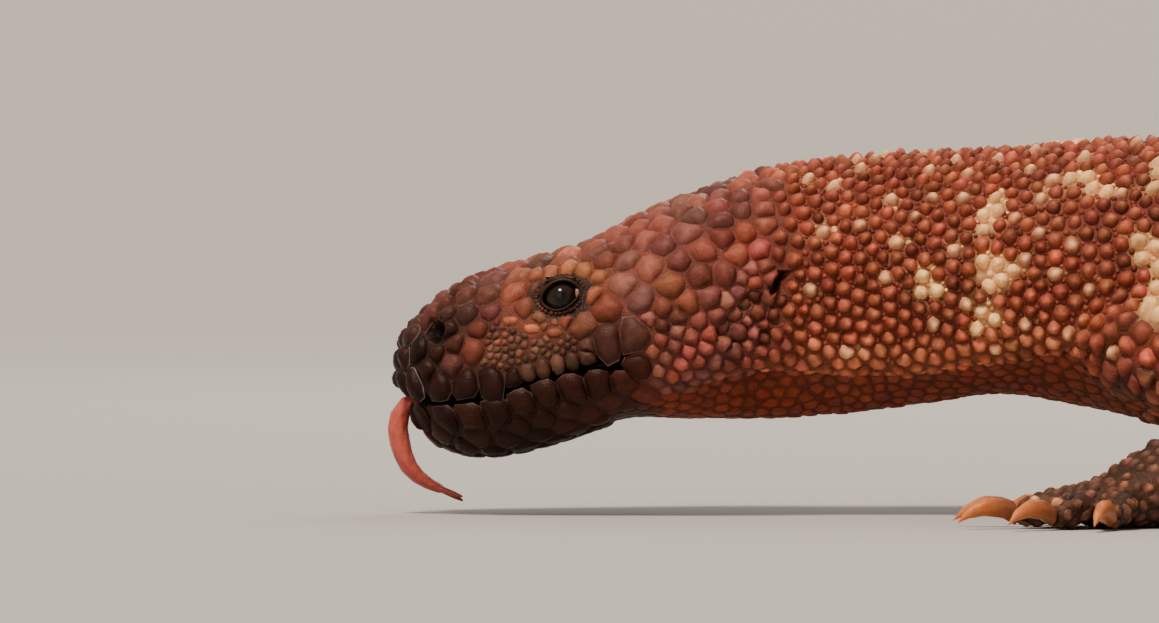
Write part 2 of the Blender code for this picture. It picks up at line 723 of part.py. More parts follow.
def digit_piece(leg, angle, reach, palm):
    places, direction = digit_line(leg, angle, reach, palm)
    rings = []
    right = Vector((-direction.y, direction.x, 0))
    sizes = (1.05, 1.0, 0.94, 0.96, 0.74)
    for i, (place, size) in enumerate(zip(places, sizes)):
        radius = DIGIT_RADIUS * size
        points, _ = ring(place, right, Vector((0, 0, 1)), radius, radius * 0.95, radius, 7, 0.5 * (i % 2))
        rings.append(points)
    return lofted("digit", rings)


def claw_piece(name, leg, angle, reach, palm):
    """A curved cone that starts just off the digit's end and comes down to the floor."""
    places, direction = digit_line(leg, angle, reach, palm)
    right = Vector((-direction.y, direction.x, 0))
    end = places[-1] + direction * TOUCHING_GAP
    rings = []
    shape = ((0, 0, 1.0), (0.22, 0.0011, 1.0), (0.50, 0.0013, 0.84), (0.77, 0.0003, 0.55))
    for i, (share, lift, size) in enumerate(shape):
        place = end + direction * CLAW_LENGTH * share + Vector((0, 0, lift))
        radius = CLAW_RADIUS * size
        points, _ = ring(place, right, Vector((0, 0, 1)), radius * 0.75, radius, radius, 6, 0.5 * (i % 2))
        rings.append(points)
    tip = end + direction * CLAW_LENGTH
    return lofted(name, rings, end=Vector((tip.x, tip.y, 0.0004)))


def palm_piece(name, leg):
    """The flat hand or foot from the wrist to the knuckles, cut flat where the leg ends."""
    length = limb_line(leg)[0][-1]
    end, tangent = limb_place(leg, length)
    radius = limb_radius(leg, length)
    side = math.copysign(1, leg["joint"][1])
    right, up = limb_axes(tangent, Vector((0, side * 0.5, 1)).normalized())
    wrist = end + tangent * TOUCHING_GAP
    points, _ = ring(wrist, right, up, radius, radius, radius * 0.94, 12, 0)
    rings = [points]
    ahead = Vector((*leg["points"], 0)).normalized()
    wide = 1.0 if leg["fore"] else 1.12
    shape = ((0.0022, 0.0068, 0.0080, 0.0056), (0.0062, 0.0054, 0.0090, 0.0048),
             (0.0110, 0.0040, 0.0092, 0.0042), (0.0150, 0.0034, 0.0074, 0.0034))
    for i, (reach, height, half_width, half_height) in enumerate(shape, 1):
        blend = min(1, i / 2)
        forward = (tangent * (1 - blend) + ahead * blend).normalized()
        across, above = limb_axes(forward, Vector((0, 0, 1)))
        place = Vector((wrist.x, wrist.y, 0)) + ahead * reach + Vector((0, 0, height))
        depth = height + FLOOR_DIP
        points, _ = ring(place, across, above, half_width * wide, half_height, depth, 12, 0.5 * (i % 2))
        rings.append(points)
    mesh = bmesh.new()
    for points in rings:
        for point in points:
            mesh.verts.new(point)
    hull = bmesh.ops.convex_hull(mesh, input=mesh.verts)
    inner = {v for v in hull["geom_interior"] + hull["geom_unused"] if isinstance(v, bmesh.types.BMVert)}
    bmesh.ops.delete(mesh, geom=list(inner), context="VERTS")
    palm = finished(name, mesh)
    cut_flat(palm, wrist, -tangent)
    return palm, Vector((wrist.x, wrist.y, 0)) + ahead * PALM_MIDDLE


def leg_pieces(key, leg):
    upper, lower, foot = (f"{name}_{key}" for name in LEG_NODE_NAMES[leg["fore"]])
    length, _, bend_at = limb_line(leg)
    trunk = [grown(bpy.data.objects[name], TOUCHING_GAP) for name in ("neck", "torso")]
    past = 0.0010
    first = limb_piece(upper, leg, length[0] + 0.004, bend_at + past, 12, 0.0042)
    combine(first, trunk, "DIFFERENCE")
    second = limb_piece(lower, leg, bend_at - past, length[-1], 12, 0.0042)
    bend, along = limb_place(leg, bend_at)
    cut_flat(first, bend - along * TOUCHING_GAP / 2, along)
    cut_flat(second, bend + along * TOUCHING_GAP / 2, -along)
    palm, middle = palm_piece(foot, leg)
    digits = FORE_DIGITS if leg["fore"] else HIND_DIGITS
    combine(palm, [digit_piece(leg, angle, reach, middle) for angle, reach in digits], "UNION", "MANIFOLD")
    trimmed_at_floor(palm)
    for number, (angle, reach) in enumerate(digits, 1):
        claw_piece(f"claw_{key}_{number}", leg, angle, reach, middle)


def body_pieces():
    body_length_piece("neck", HEAD_END, NECK_END, 30, 0.0040)
    body_length_piece("torso", NECK_END, VENT_ALONG, 30, 0.0054)
    tail_cuts = (VENT_ALONG, *TAIL_CUTS, BODY_LENGTH)
    sizes = (("tail_base", 24, 0.0047, False), ("tail_middle", 18, 0.0043, False),
             ("tail_tip", 12, 0.0040, True))
    for (name, count, step, last), start, end in zip(sizes, tail_cuts, tail_cuts[1:]):
        piece = body_length_piece(name, start, end, count, step, tail_tip=last)
        if name != "tail_base":
            trimmed_at_floor(piece)


def eyes():
    for name, side in (("eye_left", -1), ("eye_right", 1)):
        ball(name, mirrored(EYE_CENTRE, side), (EYE_RADIUS,) * 3, fineness=EYE_FINENESS)


def material(name, colour, roughness):
    made = bpy.data.materials.new(name)
    made.use_nodes = True
    shader = made.node_tree.nodes["Principled BSDF"]
    shader.inputs["Base Color"].default_value = (*colour, 1)
    shader.inputs["Roughness"].default_value = roughness
    shader.inputs["Metallic"].default_value = 0
    return made


def paint():
    made = {kind: material(kind, *finish) for kind, finish in FINISHES.items()}
    for obj in animal.objects:
        obj.data.materials.clear()
        obj.data.materials.append(made[obj.name.split("_")[0]])
        obj.data.shade_smooth()
        obj.data.set_sharp_from_angle(angle=SHARP_ANGLE)


def centre_on_floor():
    """Hangs every sub-part on one empty, and stands the middle of the animal's outline at the origin."""
    corners = np.array([v.co for obj in animal.objects for v in obj.data.vertices])
    middle = (corners.min(0) + corners.max(0)) / 2
    stance = bpy.data.objects.new("stance", None)
    for obj in animal.objects:
        obj.parent = stance
    bpy.context.scene.collection.objects.link(stance)
    stance.location = (-middle[0], -middle[1], 0)


for old in list(bpy.data.objects):
    bpy.data.objects.remove(old)
animal = bpy.data.collections.new("beaded_lizard")
bpy.context.scene.collection.children.link(animal)
tongue_piece()
head_and_jaw()
eyes()
body_pieces()
for leg_name, leg_plan in LEGS.items():
    leg_pieces(leg_name, leg_plan)
paint()
centre_on_floor()
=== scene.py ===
import math

import bmesh
import bpy
import numpy as np
from mathutils import Matrix, Vector
from mathutils.bvhtree import BVHTree
from mathutils.kdtree import KDTree


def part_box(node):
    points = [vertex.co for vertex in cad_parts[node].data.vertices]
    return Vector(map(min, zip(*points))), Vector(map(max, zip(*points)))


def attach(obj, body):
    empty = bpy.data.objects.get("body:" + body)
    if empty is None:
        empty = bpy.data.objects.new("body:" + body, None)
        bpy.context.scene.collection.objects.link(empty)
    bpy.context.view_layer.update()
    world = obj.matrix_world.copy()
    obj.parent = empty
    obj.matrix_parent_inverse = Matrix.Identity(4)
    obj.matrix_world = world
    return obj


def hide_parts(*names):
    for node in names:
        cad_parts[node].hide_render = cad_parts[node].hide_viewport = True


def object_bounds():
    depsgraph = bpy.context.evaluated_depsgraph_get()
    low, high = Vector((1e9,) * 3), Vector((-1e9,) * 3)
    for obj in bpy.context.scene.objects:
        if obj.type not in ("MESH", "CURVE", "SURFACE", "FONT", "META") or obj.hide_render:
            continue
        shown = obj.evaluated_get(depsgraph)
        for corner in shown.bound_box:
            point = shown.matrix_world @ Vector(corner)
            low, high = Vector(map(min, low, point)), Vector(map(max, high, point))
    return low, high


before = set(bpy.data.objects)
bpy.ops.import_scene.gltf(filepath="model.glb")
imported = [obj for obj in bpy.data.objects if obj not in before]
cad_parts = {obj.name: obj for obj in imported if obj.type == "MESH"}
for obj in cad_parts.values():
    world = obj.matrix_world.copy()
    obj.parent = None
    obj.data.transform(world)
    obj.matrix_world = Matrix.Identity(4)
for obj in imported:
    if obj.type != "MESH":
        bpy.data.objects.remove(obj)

cad_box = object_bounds()

# The stance and the camera.
# The animal walks to the left, low over a pale floor. The photograph looks at its left side from floor level
# through a long lens, and shows the head, the neck and the start of the near foreleg.
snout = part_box("head")[0].x
midline = (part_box("eye_left")[0].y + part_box("eye_right")[1].y) / 2
photo_pixels = (1159, 623)
pixel_size = 0.00017
photo_middle = Vector((snout + 0.0319, midline - 0.016, 0.0348))
camera_distance = 1.5
camera_elevation = math.radians(0.5)


def placed(name, data):
    """Makes an object of the data and puts it into the scene."""
    made = bpy.data.objects.new(name, data)
    bpy.context.scene.collection.objects.link(made)
    return made


def turned_from(direction):
    """The turn of a camera or light that stands in the given direction and looks back."""
    return Vector(direction).to_track_quat("Z", "Y").to_euler()


camera = bpy.data.cameras.new("camera")
camera.sensor_width = 36
camera.lens = camera.sensor_width * camera_distance / (photo_pixels[0] * pixel_size)
camera.clip_start = 0.05
viewer = placed("camera", camera)
outward = Vector((0, -math.cos(camera_elevation), math.sin(camera_elevation)))
viewer.location = photo_middle + outward * camera_distance
viewer.rotation_euler = turned_from(outward)
bpy.context.scene.camera = viewer


def plain_material(name, colour, roughness):
    """A material of one colour, to which nodes can be added."""
    made = bpy.data.materials.new(name)
    made.use_nodes = True
    shader = made.node_tree.nodes["Principled BSDF"]
    shader.inputs["Base Color"].default_value = (*colour, 1)
    shader.inputs["Roughness"].default_value = roughness
    return made


def new_piece(name, mesh):
    """Turns a bmesh into a smooth object."""
    data = bpy.data.meshes.new(name)
    mesh.to_mesh(data)
    mesh.free()
    data.shade_smooth()
    return placed(name, data)


# The floor is level round the animal and rises slowly from rim_start to rim_height, so that no horizon shows
floor_half = 4
rim_start = 1.6
rim_height = 0.20
floor_mesh = bmesh.new()
bmesh.ops.create_grid(floor_mesh, x_segments=80, y_segments=80, size=floor_half)
for vert in floor_mesh.verts:
    far = max(vert.co.xy.length - rim_start, 0) / (floor_half - rim_start)
    vert.co.z = rim_height * min(far, 1) ** 2
floor = new_piece("floor", floor_mesh)
floor.data.materials.append(plain_material("pale floor", (0.41, 0.382, 0.350), 0.9))
floor.location.z = -0.0001

world = bpy.data.worlds.new("studio")
world.use_nodes = True
world.node_tree.nodes["Background"].inputs["Color"].default_value = (1.0, 0.95, 0.88, 1)
world.node_tree.nodes["Background"].inputs["Strength"].default_value = 0.50
bpy.context.scene.world = world


def lit(name, kind, direction, power, colour):
    """A lamp that shines from the given direction."""
    light = bpy.data.lights.new(name, kind)
    light.energy = power
    light.color = colour
    holder = placed(name, light)
    holder.rotation_euler = turned_from(direction)
    return light, holder


for name, place, target, size, power, colour in (
    ("fill", (-0.9, -1.6, 0.6), (-0.1, 0, 0.03), 1.2, 5, (0.98, 0.97, 1.0)),
    ("rim", (0.3, 1.3, 1.1), (0, 0, 0.04), 0.8, 10, (1.0, 0.95, 0.9)),
):
    light, holder = lit(name, "AREA", Vector(place) - Vector(target), power, colour)
    light.size = size
    holder.location = place
sun, _ = lit("key", "SUN", (-0.25, -0.50, 1.0), 4.6, (1.0, 0.91, 0.80))
sun.angle = math.radians(18)

# The skin.
# One soft hide covers head, trunk, tail and legs. It lies under the bead scales by their height, with the
# mouth's line, the eye sockets, the nostrils and the ear slits pressed into it. It is dark between the beads,
# partly its own colour and partly painted shade, and painted shade darkens it in the mouth, nostrils and
# ears.
fore_parts, hind_parts = ("upper_arm", "forearm", "hand"), ("thigh", "shin", "foot")
legs = [f"{part}_fore_{side}" for side in ("left", "right") for part in fore_parts]
legs += [f"{part}_hind_{side}" for side in ("left", "right") for part in hind_parts]
flesh = ["head", "lower_jaw", "neck", "torso", "tail_base", "tail_middle", "tail_tip"] + legs
hide_cell = 0.0009
hide_kept = 0.40
hide_inset = 0.0005

joined = bmesh.new()
flesh_spans = []
for node in flesh:
    joined.from_mesh(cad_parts[node].data)
    flesh_spans.append(len(joined.faces))
bmesh.ops.remove_doubles(joined, verts=joined.verts, dist=0.000001)
solids_tree = BVHTree.FromBMesh(joined)
hide = new_piece("skin", joined)


def made_real(obj):
    """Makes what the modifiers give the object's own mesh."""
    graph = bpy.context.evaluated_depsgraph_get()
    data = bpy.data.meshes.new_from_object(obj.evaluated_get(graph))
    obj.modifiers.clear()
    obj.data = data


def melted(obj, cell, turns):
    """Melts what an object is made of into one closed form, and smooths it by a number of turns."""
    melt = obj.modifiers.new("one form", "REMESH")
    melt.mode = "VOXEL"
    melt.voxel_size = cell
    if turns:
        soften = obj.modifiers.new("soft", "SMOOTH")
        soften.factor = 0.5
        soften.iterations = turns
    made_real(obj)


melted(hide, hide_cell, 0)
head_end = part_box("head")[1].x
foot_boxes = [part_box(node) for node in flesh if node.startswith(("hand", "foot"))]


def on_a_foot(place):
    """Tells whether a place is inside the box of a foot."""
    return any(all(low[i] - 0.001 < place[i] < high[i] + 0.001 for i in range(3)) for low, high in foot_boxes)


# The feet are smoothed less, so that they keep their toes
soft_turns, foot_turns = 14, 3
soft = bmesh.new()
soft.from_mesh(hide.data)
thick_parts = [v for v in soft.verts if not on_a_foot(v.co)]
for turn in range(soft_turns):
    verts = soft.verts if turn < foot_turns else thick_parts
    bmesh.ops.smooth_vert(soft, verts=verts, factor=0.5, use_axis_x=True, use_axis_y=True, use_axis_z=True)
soft.to_mesh(hide.data)
thinned = hide.vertex_groups.new(name="thinned")
thinned.add([v.index for v in thick_parts], 1.0, "REPLACE")
soft.free()
thin = hide.modifiers.new("fewer faces", "DECIMATE")
thin.ratio = hide_kept
thin.vertex_group = "thinned"
made_real(hide)
hide.vertex_groups.clear()
finer = bmesh.new()
finer.from_mesh(hide.data)
head_edges = [e for e in finer.edges if max(e.verts[0].co.x, e.verts[1].co.x) < head_end - 0.008]
bmesh.ops.subdivide_edges(finer, edges=head_edges, cuts=1, use_grid_fill=True, smooth=0)
bmesh.ops.triangulate(finer, faces=[f for f in finer.faces if len(f.verts) > 4])
finer.to_mesh(hide.data)
finer.free()


def vectors_of(items, name):
    """The vectors that a mesh's points or normals hold, as one table."""
    flat = np.empty(len(items) * 3, np.float32)
    items.foreach_get(name, flat)
    return flat.reshape(-1, 3).astype(float)


def smooth_step(low, high, x):
    """Rises smoothly from 0 at low to 1 at high, or falls where low is the larger one."""
    t = np.clip((x - low) / (high - low), 0, 1)
    return t * t * (3 - 2 * t)


mouth_line = ((-2, 19.6), (3, 19.5), (10, 19.3), (16, 20.1), (21, 21.6), (27, 23.7), (34, 25.3), (42, 26.2))
mouth_line = np.array(mouth_line) / 1000 + (snout, 0)
mouth_corner = mouth_line[-1, 0]


def mouth_height(x):
    """The height of the mouth's line at a place along the head."""
    return np.interp(x, mouth_line[:, 0], mouth_line[:, 1])


eye_low, eye_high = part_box("eye_left")
eye_radius = (eye_high.z - eye_low.z) / 2
eye_middle = (eye_low + eye_high) / 2
eye_beside = 0.0152
eye_centres = {side: Vector((eye_middle.x, midline + side * eye_beside, eye_middle.z)) for side in (-1, 1)}
nostril_place = (snout + 0.0074, 0.0312)
ear_top = np.array((snout + 0.0666, 0.0420))
ear_bottom = np.array((snout + 0.0640, 0.0368))
ear_half_length, ear_half_width = 0.0032, 0.0008


def from_nostril(x, z):
    """How far a place lies from the nostril's middle, seen from the side."""
    return np.hypot(x - nostril_place[0], (z - nostril_place[1]) / 1.3)


def from_ear(x, z):
    """How far a place lies from the ear slit's middle: 1 at the slit's edge, which is shaped like a lens."""
    lean = (ear_top - ear_bottom) / np.linalg.norm(ear_top - ear_bottom)
    off = np.stack([x, z], 1) - (ear_top + ear_bottom) / 2
    across = off @ np.array((lean[1], -lean[0]))
    return (np.abs(off @ lean) / ear_half_length) ** 1.4 + (np.abs(across) / ear_half_width) ** 1.4


def pressed_in(points, normals):
    """Presses the mouth's line, the eye sockets, the nostrils and the ear slits into the hide."""
    x, y, z = points.T
    gape = 0.0008 + 0.0006 * smooth_step(snout + 0.018, snout + 0.028, x)
    near_mouth = np.exp(-(((z - mouth_height(x)) / gape) ** 2)) * (x < mouth_corner) * (z < 0.034)
    depth = 0.0024 * near_mouth * smooth_step(mouth_corner, mouth_corner - 0.004, x)
    for side in (-1, 1):
        own = np.sign(y - midline) == side
        depth += 0.0026 * own * (x < snout + 0.02) * smooth_step(0.0017, 0.0008, from_nostril(x, z))
        depth += 0.0020 * own * smooth_step(1.0, 0.25, from_ear(x, z) / 1.2)
    moved = points - normals * depth[:, None]
    for centre in eye_centres.values():
        away = moved - np.array(centre)
        distance = np.linalg.norm(away, axis=1)
        close = distance < eye_radius + 0.0003
        moved[close] = np.array(centre) + away[close] / distance[close, None] * (eye_radius + 0.0003)
    return moved, depth


fold_line = ((36, 19), (46, 21.5), (61, 25.4), (80, 24.8), (88, 24.8), (98, 26.2), (108, 27.6), (116, 28.8),
             (128, 33))
fold_line = np.array(fold_line) / 1000


def below_fold(along, height):
    """How far a place lies below the long fold at the side of the throat, which ends at the foreleg."""
    there = (along > fold_line[0, 0]) & (along < fold_line[-1, 0])
    return np.where(there, np.interp(along, fold_line[:, 0], fold_line[:, 1]) - height, -1)


ear_creases = (((64.4, 37.2), (58.6, 29.0)), ((66.2, 36.4), (62.4, 28.4)), ((61.4, 37.6), (55.6, 31.0)))
ear_creases = np.array(ear_creases) / 1000


def by_crease(along, height):
    """How near a place is to the creases that run down and forward from the ear, from 0 to 1."""
    near = 0
    for start, end in ear_creases:
        way = end - start
        share = np.clip(((along - start[0]) * way[0] + (height - start[1]) * way[1]) / (way @ way), 0, 1)
        distance = np.hypot(along - start[0] - share * way[0], height - start[1] - share * way[1])
        near = np.maximum(near, smooth_step(0.0012, 0.0002, distance))
    return near


even_points = vectors_of(hide.data.vertices, "co")
even_normals = vectors_of(hide.data.vertex_normals, "vector")
even_along = even_points[:, 0] - snout
fold_depth = below_fold(even_along, even_points[:, 2])
fold_there = smooth_step(0.048, 0.062, even_along) * smooth_step(0.128, 0.112, even_along)
overhang = 0.0009 * smooth_step(-0.0060, -0.0008, fold_depth) * smooth_step(0.0012, 0.0, fold_depth)
overhang -= 0.0016 * smooth_step(0.0, 0.0016, fold_depth) * smooth_step(0.0120, 0.0030, fold_depth)
inset = np.array([0.0001 if on_a_foot(p) else hide_inset for p in even_points])
lowered = np.minimum(inset, np.maximum(even_points[:, 2] - 0.0001, 0) * 0.6) - overhang * fold_there
lowered += 0.0008 * by_crease(even_along, even_points[:, 2])
even_points -= even_normals * lowered[:, None]
even_points[:, 2] = np.maximum(even_points[:, 2], 0.0)
hide_faces = [tuple(p.vertices) for p in hide.data.polygons]
even_tree = BVHTree.FromPolygons(even_points.tolist(), hide_faces)
pressed_points, pressed = pressed_in(even_points, even_normals)
hide.data.vertices.foreach_set("co", pressed_points.astype(np.float32).ravel())
hide.data.update()
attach(hide, "root")
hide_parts(*flesh)


def nodes_at(points):
    """The names of the CAD nodes that places on the hide belong to."""
    faces = [solids_tree.find_nearest(Vector(p))[2] for p in points]
    return np.array(flesh)[np.searchsorted(flesh_spans, faces, side="right")]


def landed(points):
    """Sets places down on the hide. Gives the places there, the normals and how far each had to move."""
    found = [even_tree.find_nearest(Vector(p)) for p in points]
    normals = np.array([even_normals[list(hide_faces[f[2]])].mean(0) for f in found])
    normals /= np.linalg.norm(normals, axis=1)[:, None]
    return np.array([f[0] for f in found]), normals, np.array([f[3] for f in found])


# The roots of the scales.
# Each scale grows from a root on the hide. On neck, trunk and tail the roots stand in rings across the body,
# elsewhere they are pushed apart until they lie evenly. Rows at lips, brow and eye have places of their own.
chance = np.random.default_rng(11)
brow_size = 0.0029
under_eye_size = 0.0019


def among(nodes, *starts):
    """Tells which of the nodes have a name with one of the given starts."""
    return np.array([str(node).startswith(starts) for node in nodes])


def scale_spacing(points, nodes):
    """How far apart the roots stand: far on the head, close round the eyes, on throat and toes."""
    x = points[:, 0] - snout
    z = points[:, 2]
    beside = np.abs(points[:, 1] - midline)
    head, jaw, neck, torso, tail = (among(nodes, n) for n in ("head", "lower_jaw", "neck", "torso", "tail"))
    head |= jaw
    spacing = np.full(len(points), 0.0022)
    spacing[among(nodes, "forearm", "shin")] = 0.0034
    spacing[among(nodes, "upper_arm", "thigh")] = 0.0037
    spacing[neck] = 0.0029
    spacing = np.where(torso, np.interp(x, (0.112, 0.15, 0.20), (0.0032, 0.0035, 0.0043)), spacing)
    spacing = np.where(tail, np.interp(x, (0.38, 0.55, 0.64), (0.0042, 0.0038, 0.0026)), spacing)
    crown = 0.0046 - 0.0006 * smooth_step(0.018, 0.004, x)
    crown = crown * (1 - 0.30 * smooth_step(0.052, 0.067, x))
    crown = np.where(x > 0.043, np.minimum(crown, 0.0026 + 0.0022 * smooth_step(0.0330, 0.0400, z)), crown)
    by_ear = np.hypot(points[:, 0] - ear_bottom[0], z - ear_bottom[1]) < 0.0075
    crown = np.where(by_ear, np.minimum(crown, 0.0024), crown)
    spacing[head] = crown[head]
    spacing[jaw] = 0.0047
    for centre in eye_centres.values():
        away = np.linalg.norm(points - np.array(centre), axis=1)
        by_eye = 0.0026 + np.maximum(away - 0.0055, 0) * 0.7
        spacing = np.where(away < 0.010, np.minimum(spacing, by_eye), spacing)
    creased = (x > 0.0150) & (x < 0.0325) & (z > 0.0245) & (z < 0.0330) & (beside > 0.006) & head
    spacing[creased] = 0.0013
    throat = below_fold(x, z) > 0.0008
    spacing[throat & (head | neck)] = 0.0028
    rim = (np.hypot(points[:, 0] - nostril_place[0], z - nostril_place[1]) < 0.0042) & head
    spacing[rim] = np.minimum(spacing[rim], 0.0036)
    return spacing


under_eye_line = np.array(((18.0, 34.4), (21.2, 32.5), (26.4, 31.3), (29.6, 31.2))) / 1000


def hollow_at(points, lid_reach):
    """Places that no scale may cover: the eyelids to the given height, the nostrils and the ear slits."""
    x, y, z = points.T
    bare = (from_nostril(x, z) < 0.0017) & (x < snout + 0.015)
    for centre in eye_centres.values():
        away = points - np.array(centre)
        bare |= (np.hypot(away[:, 0] / 1.28, away[:, 2]) < lid_reach) & (np.abs(away[:, 1]) < 0.01)
    return bare | (from_ear(x, z) < 1)


def barred(points):
    """Places for no loose scale: the hollows, the strip under the eye and the mouth's line."""
    x, y, z = points.T
    strip = np.interp(x - snout, under_eye_line[:, 0], under_eye_line[:, 1])
    inside = (x > snout + under_eye_line[0, 0]) & (x < snout + under_eye_line[-1, 0])
    bare = inside & (np.abs(z - strip) < 0.0008) & (np.abs(y - midline) > 0.006)
    bare |= (np.abs(z - mouth_height(x)) < 0.0013) & (x < mouth_corner) & (z < 0.034)
    return bare | hollow_at(points, 0.0039)


def ring_roots():
    """Roots in rings across neck, trunk and tail, found by looking outwards from the body's middle."""
    body = bmesh.new()
    for node in ("neck", "torso", "tail_base", "tail_middle", "tail_tip"):
        body.from_mesh(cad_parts[node].data)
    tree = BVHTree.FromBMesh(body)
    cloud = np.array([v.co for v in body.verts])
    body.free()
    rings = []
    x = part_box("neck")[0].x + 0.002
    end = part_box("tail_tip")[1].x - 0.003
    turns = np.linspace(0, 2 * math.pi, 97)
    while x < end:
        near = cloud[np.abs(cloud[:, 0] - x) < 0.004]
        low, high = near.min(0), near.max(0)
        middle = Vector((x, (low[1] + high[1]) / 2, (low[2] + high[2]) / 2))
        hits = [tree.ray_cast(middle, Vector((0, math.sin(t), math.cos(t))))[0] for t in turns]
        outline = np.array([h if h is not None else middle for h in hits])
        spacing = scale_spacing(outline[:1], nodes_at(outline[:1]))[0]
        length = np.concatenate([[0], np.cumsum(np.linalg.norm(np.diff(outline, axis=0), axis=1))])
        count = max(5, round(length[-1] / spacing))
        wanted = ((np.arange(count) + 0.5 * (len(rings) % 2)) / count * length[-1]) % length[-1]
        spots = np.stack([np.interp(wanted, length, outline[:, axis]) for axis in range(3)], 1)
        rings.append(spots + chance.normal(0, spacing * 0.28, spots.shape))
        x += spacing * 0.87
    return np.concatenate(rings)


def row_roots():
    """Roots and sizes of the rows at lips, brow and eye, given from the side, for both sides."""
    spots = [(x, mouth_height(snout + x) + 0.0031, 0.0046) for x in (0.0035, 0.0080, 0.0125, 0.0168)]
    spots += [(x, mouth_height(snout + x) + 0.0024, 0.0026) for x in np.arange(0.0205, 0.0335, 0.0025)]
    spots += [(0.0366, 0.0300, 0.0062), (0.0410, 0.0306, 0.0058)]
    spots += [(x, mouth_height(snout + x) - 0.0032, 0.0046) for x in np.arange(0.0050, 0.0430, 0.0043)]
    brow = ((0.0245, 0.0410), (0.0271, 0.0418), (0.0299, 0.0421), (0.0327, 0.0418), (0.0352, 0.0408))
    spots += [(x, z, brow_size) for x, z in brow]
    spots += [(x, z, under_eye_size) for x, z in ((0.0200, 0.0332), (0.0237, 0.0319), (0.0274, 0.0312))]
    spots += [(0.0318, 0.0320, 0.0038), (0.0331, 0.0289, 0.0034)]
    spots += [(0.0165, 0.0346, 0.0034), (0.0148, 0.0318, 0.0036)]
    rows = []
    for along, height, size in spots:
        for side in (-1, 1):
            start = Vector((snout + along, midline + side * 0.06, height))
            rows.append((even_tree.ray_cast(start, Vector((0, -side, 0)))[0], size))
    for rise in (0.0031, -0.0032):
        for y in (-0.0045, 0.0, 0.0045):
            start = Vector((snout - 0.05, midline + y, mouth_height(snout) + rise))
            rows.append((even_tree.ray_cast(start, Vector((1, 0, 0)))[0], 0.0046))
    rows = [row for row in rows if row[0] is not None]
    return np.array([r[0] for r in rows]), np.array([r[1] for r in rows])


scatter_tries = 140000
closest_share = 0.40


def scattered(kept, kept_spacing):
    """Fills what is left of the hide with roots that keep their distance from those that are there."""
    cell = 0.006
    grid = {}
    for p, s in zip(kept, kept_spacing):
        grid.setdefault((int(p[0] // cell), int(p[1] // cell), int(p[2] // cell)), []).append((*p, s))
    corners = np.array([even_points[list(f[:3])] for f in hide_faces])
    area = np.linalg.norm(np.cross(corners[:, 1] - corners[:, 0], corners[:, 2] - corners[:, 0]), axis=1)
    area *= np.where(corners[:, 0, 0] < head_end, 5, 1)
    picked = chance.choice(len(corners), scatter_tries, p=area / area.sum())
    u, v = chance.random((2, len(picked)))
    tried = corners[picked, 0] + u[:, None] * (corners[picked, 1] - corners[picked, 0])
    tried += v[:, None] * (corners[picked, 2] - corners[picked, 0]) * (1 - u[:, None])
    tried = tried[~barred(tried)]
    spacing = scale_spacing(tried, nodes_at(tried))
    added = []
    for p, s in zip(tried, spacing):
        a, b, c = (int(p[0] // cell), int(p[1] // cell), int(p[2] // cell))
        around = [q for i in (a - 1, a, a + 1) for j in (b - 1, b, b + 1) for k in (c - 1, c, c + 1)
                  for q in grid.get((i, j, k), ())]
        if all(
            (p[0] - q[0]) ** 2 + (p[1] - q[1]) ** 2 + (p[2] - q[2]) ** 2 > (closest_share * (s + q[3])) ** 2
            for q in around
        ):
            grid.setdefault((a, b, c), []).append((*p, s))
            added.append(p)
    return np.array(added)


def tree_of(points):
    """A tree in which the points nearest to a place can be looked up."""
    tree = KDTree(len(points))
    for i, p in enumerate(points):
        tree.insert(p, i)
    tree.balance()
    return tree


def neighbours(points, count):
    """The numbers of the other points that lie nearest to each point."""
    tree = tree_of(points)
    return np.array([[f[1] for f in tree.find_n(p, count + 1)[1:]] for p in points])


row_places, row_sizes = row_roots()
row_places, _, _ = landed(row_places)
rings, _, moved = landed(ring_roots())
rings = rings[(moved < 0.0030) & ~barred(rings)]
rings = rings[np.linalg.norm(rings[:, None] - row_places[None], axis=2).min(1) > 0.0035]
kept = np.concatenate([row_places, rings])
kept_spacing = scale_spacing(kept, nodes_at(kept))
kept_spacing[: len(row_sizes)] = row_sizes
loose = scattered(kept, kept_spacing)
roots = np.concatenate([kept, loose])
stiff = np.concatenate([np.full(len(row_places), 1.0), np.full(len(rings), 0.12), np.zeros(len(loose))])

# The roots push one another apart in turns. Those in rows stay, those in rings move a little
push_turns = 7
push_share = 0.32
for _ in range(push_turns):
    spacing = scale_spacing(roots, nodes_at(roots))
    spacing[: len(row_sizes)] = row_sizes
    near = neighbours(roots, 6)
    away = roots[:, None] - roots[near]
    distance = np.linalg.norm(away, axis=2)
    push = np.clip((spacing[:, None] + spacing[near]) / 2 - distance, 0, None) / np.maximum(distance, 1e-6)
    step = (away * push[:, :, None]).sum(1) * push_share * (1 - stiff)[:, None]
    roots, root_normals, _ = landed(roots + step)
    stay = ~barred(roots) | (stiff == 1)
    roots, root_normals, stiff = roots[stay], root_normals[stay], stiff[stay]
root_nodes = nodes_at(roots)
spacing = scale_spacing(roots, root_nodes)
spacing[: len(row_sizes)] = row_sizes
near = neighbours(roots, 6)
crowd = np.linalg.norm(roots[:, None] - roots[near], axis=2)
too_close = 0.60
drop = np.zeros(len(roots), bool)
for i in np.argsort(stiff, kind="stable"):
    rivals = near[i][crowd[i] < spacing[i] * too_close]
    if stiff[i] < 1 and len(rivals) and not drop[rivals].all():
        drop[i] = True
roots, root_normals, root_nodes, spacing = (v[~drop] for v in (roots, root_normals, root_nodes, spacing))

# The eyelids.
# A thick rim of hide runs round each eye, an almond with its rear corner higher, and rolls outwards into the
# skin of the face. A row of fine dark granules sits on it.
lid_sides = 48
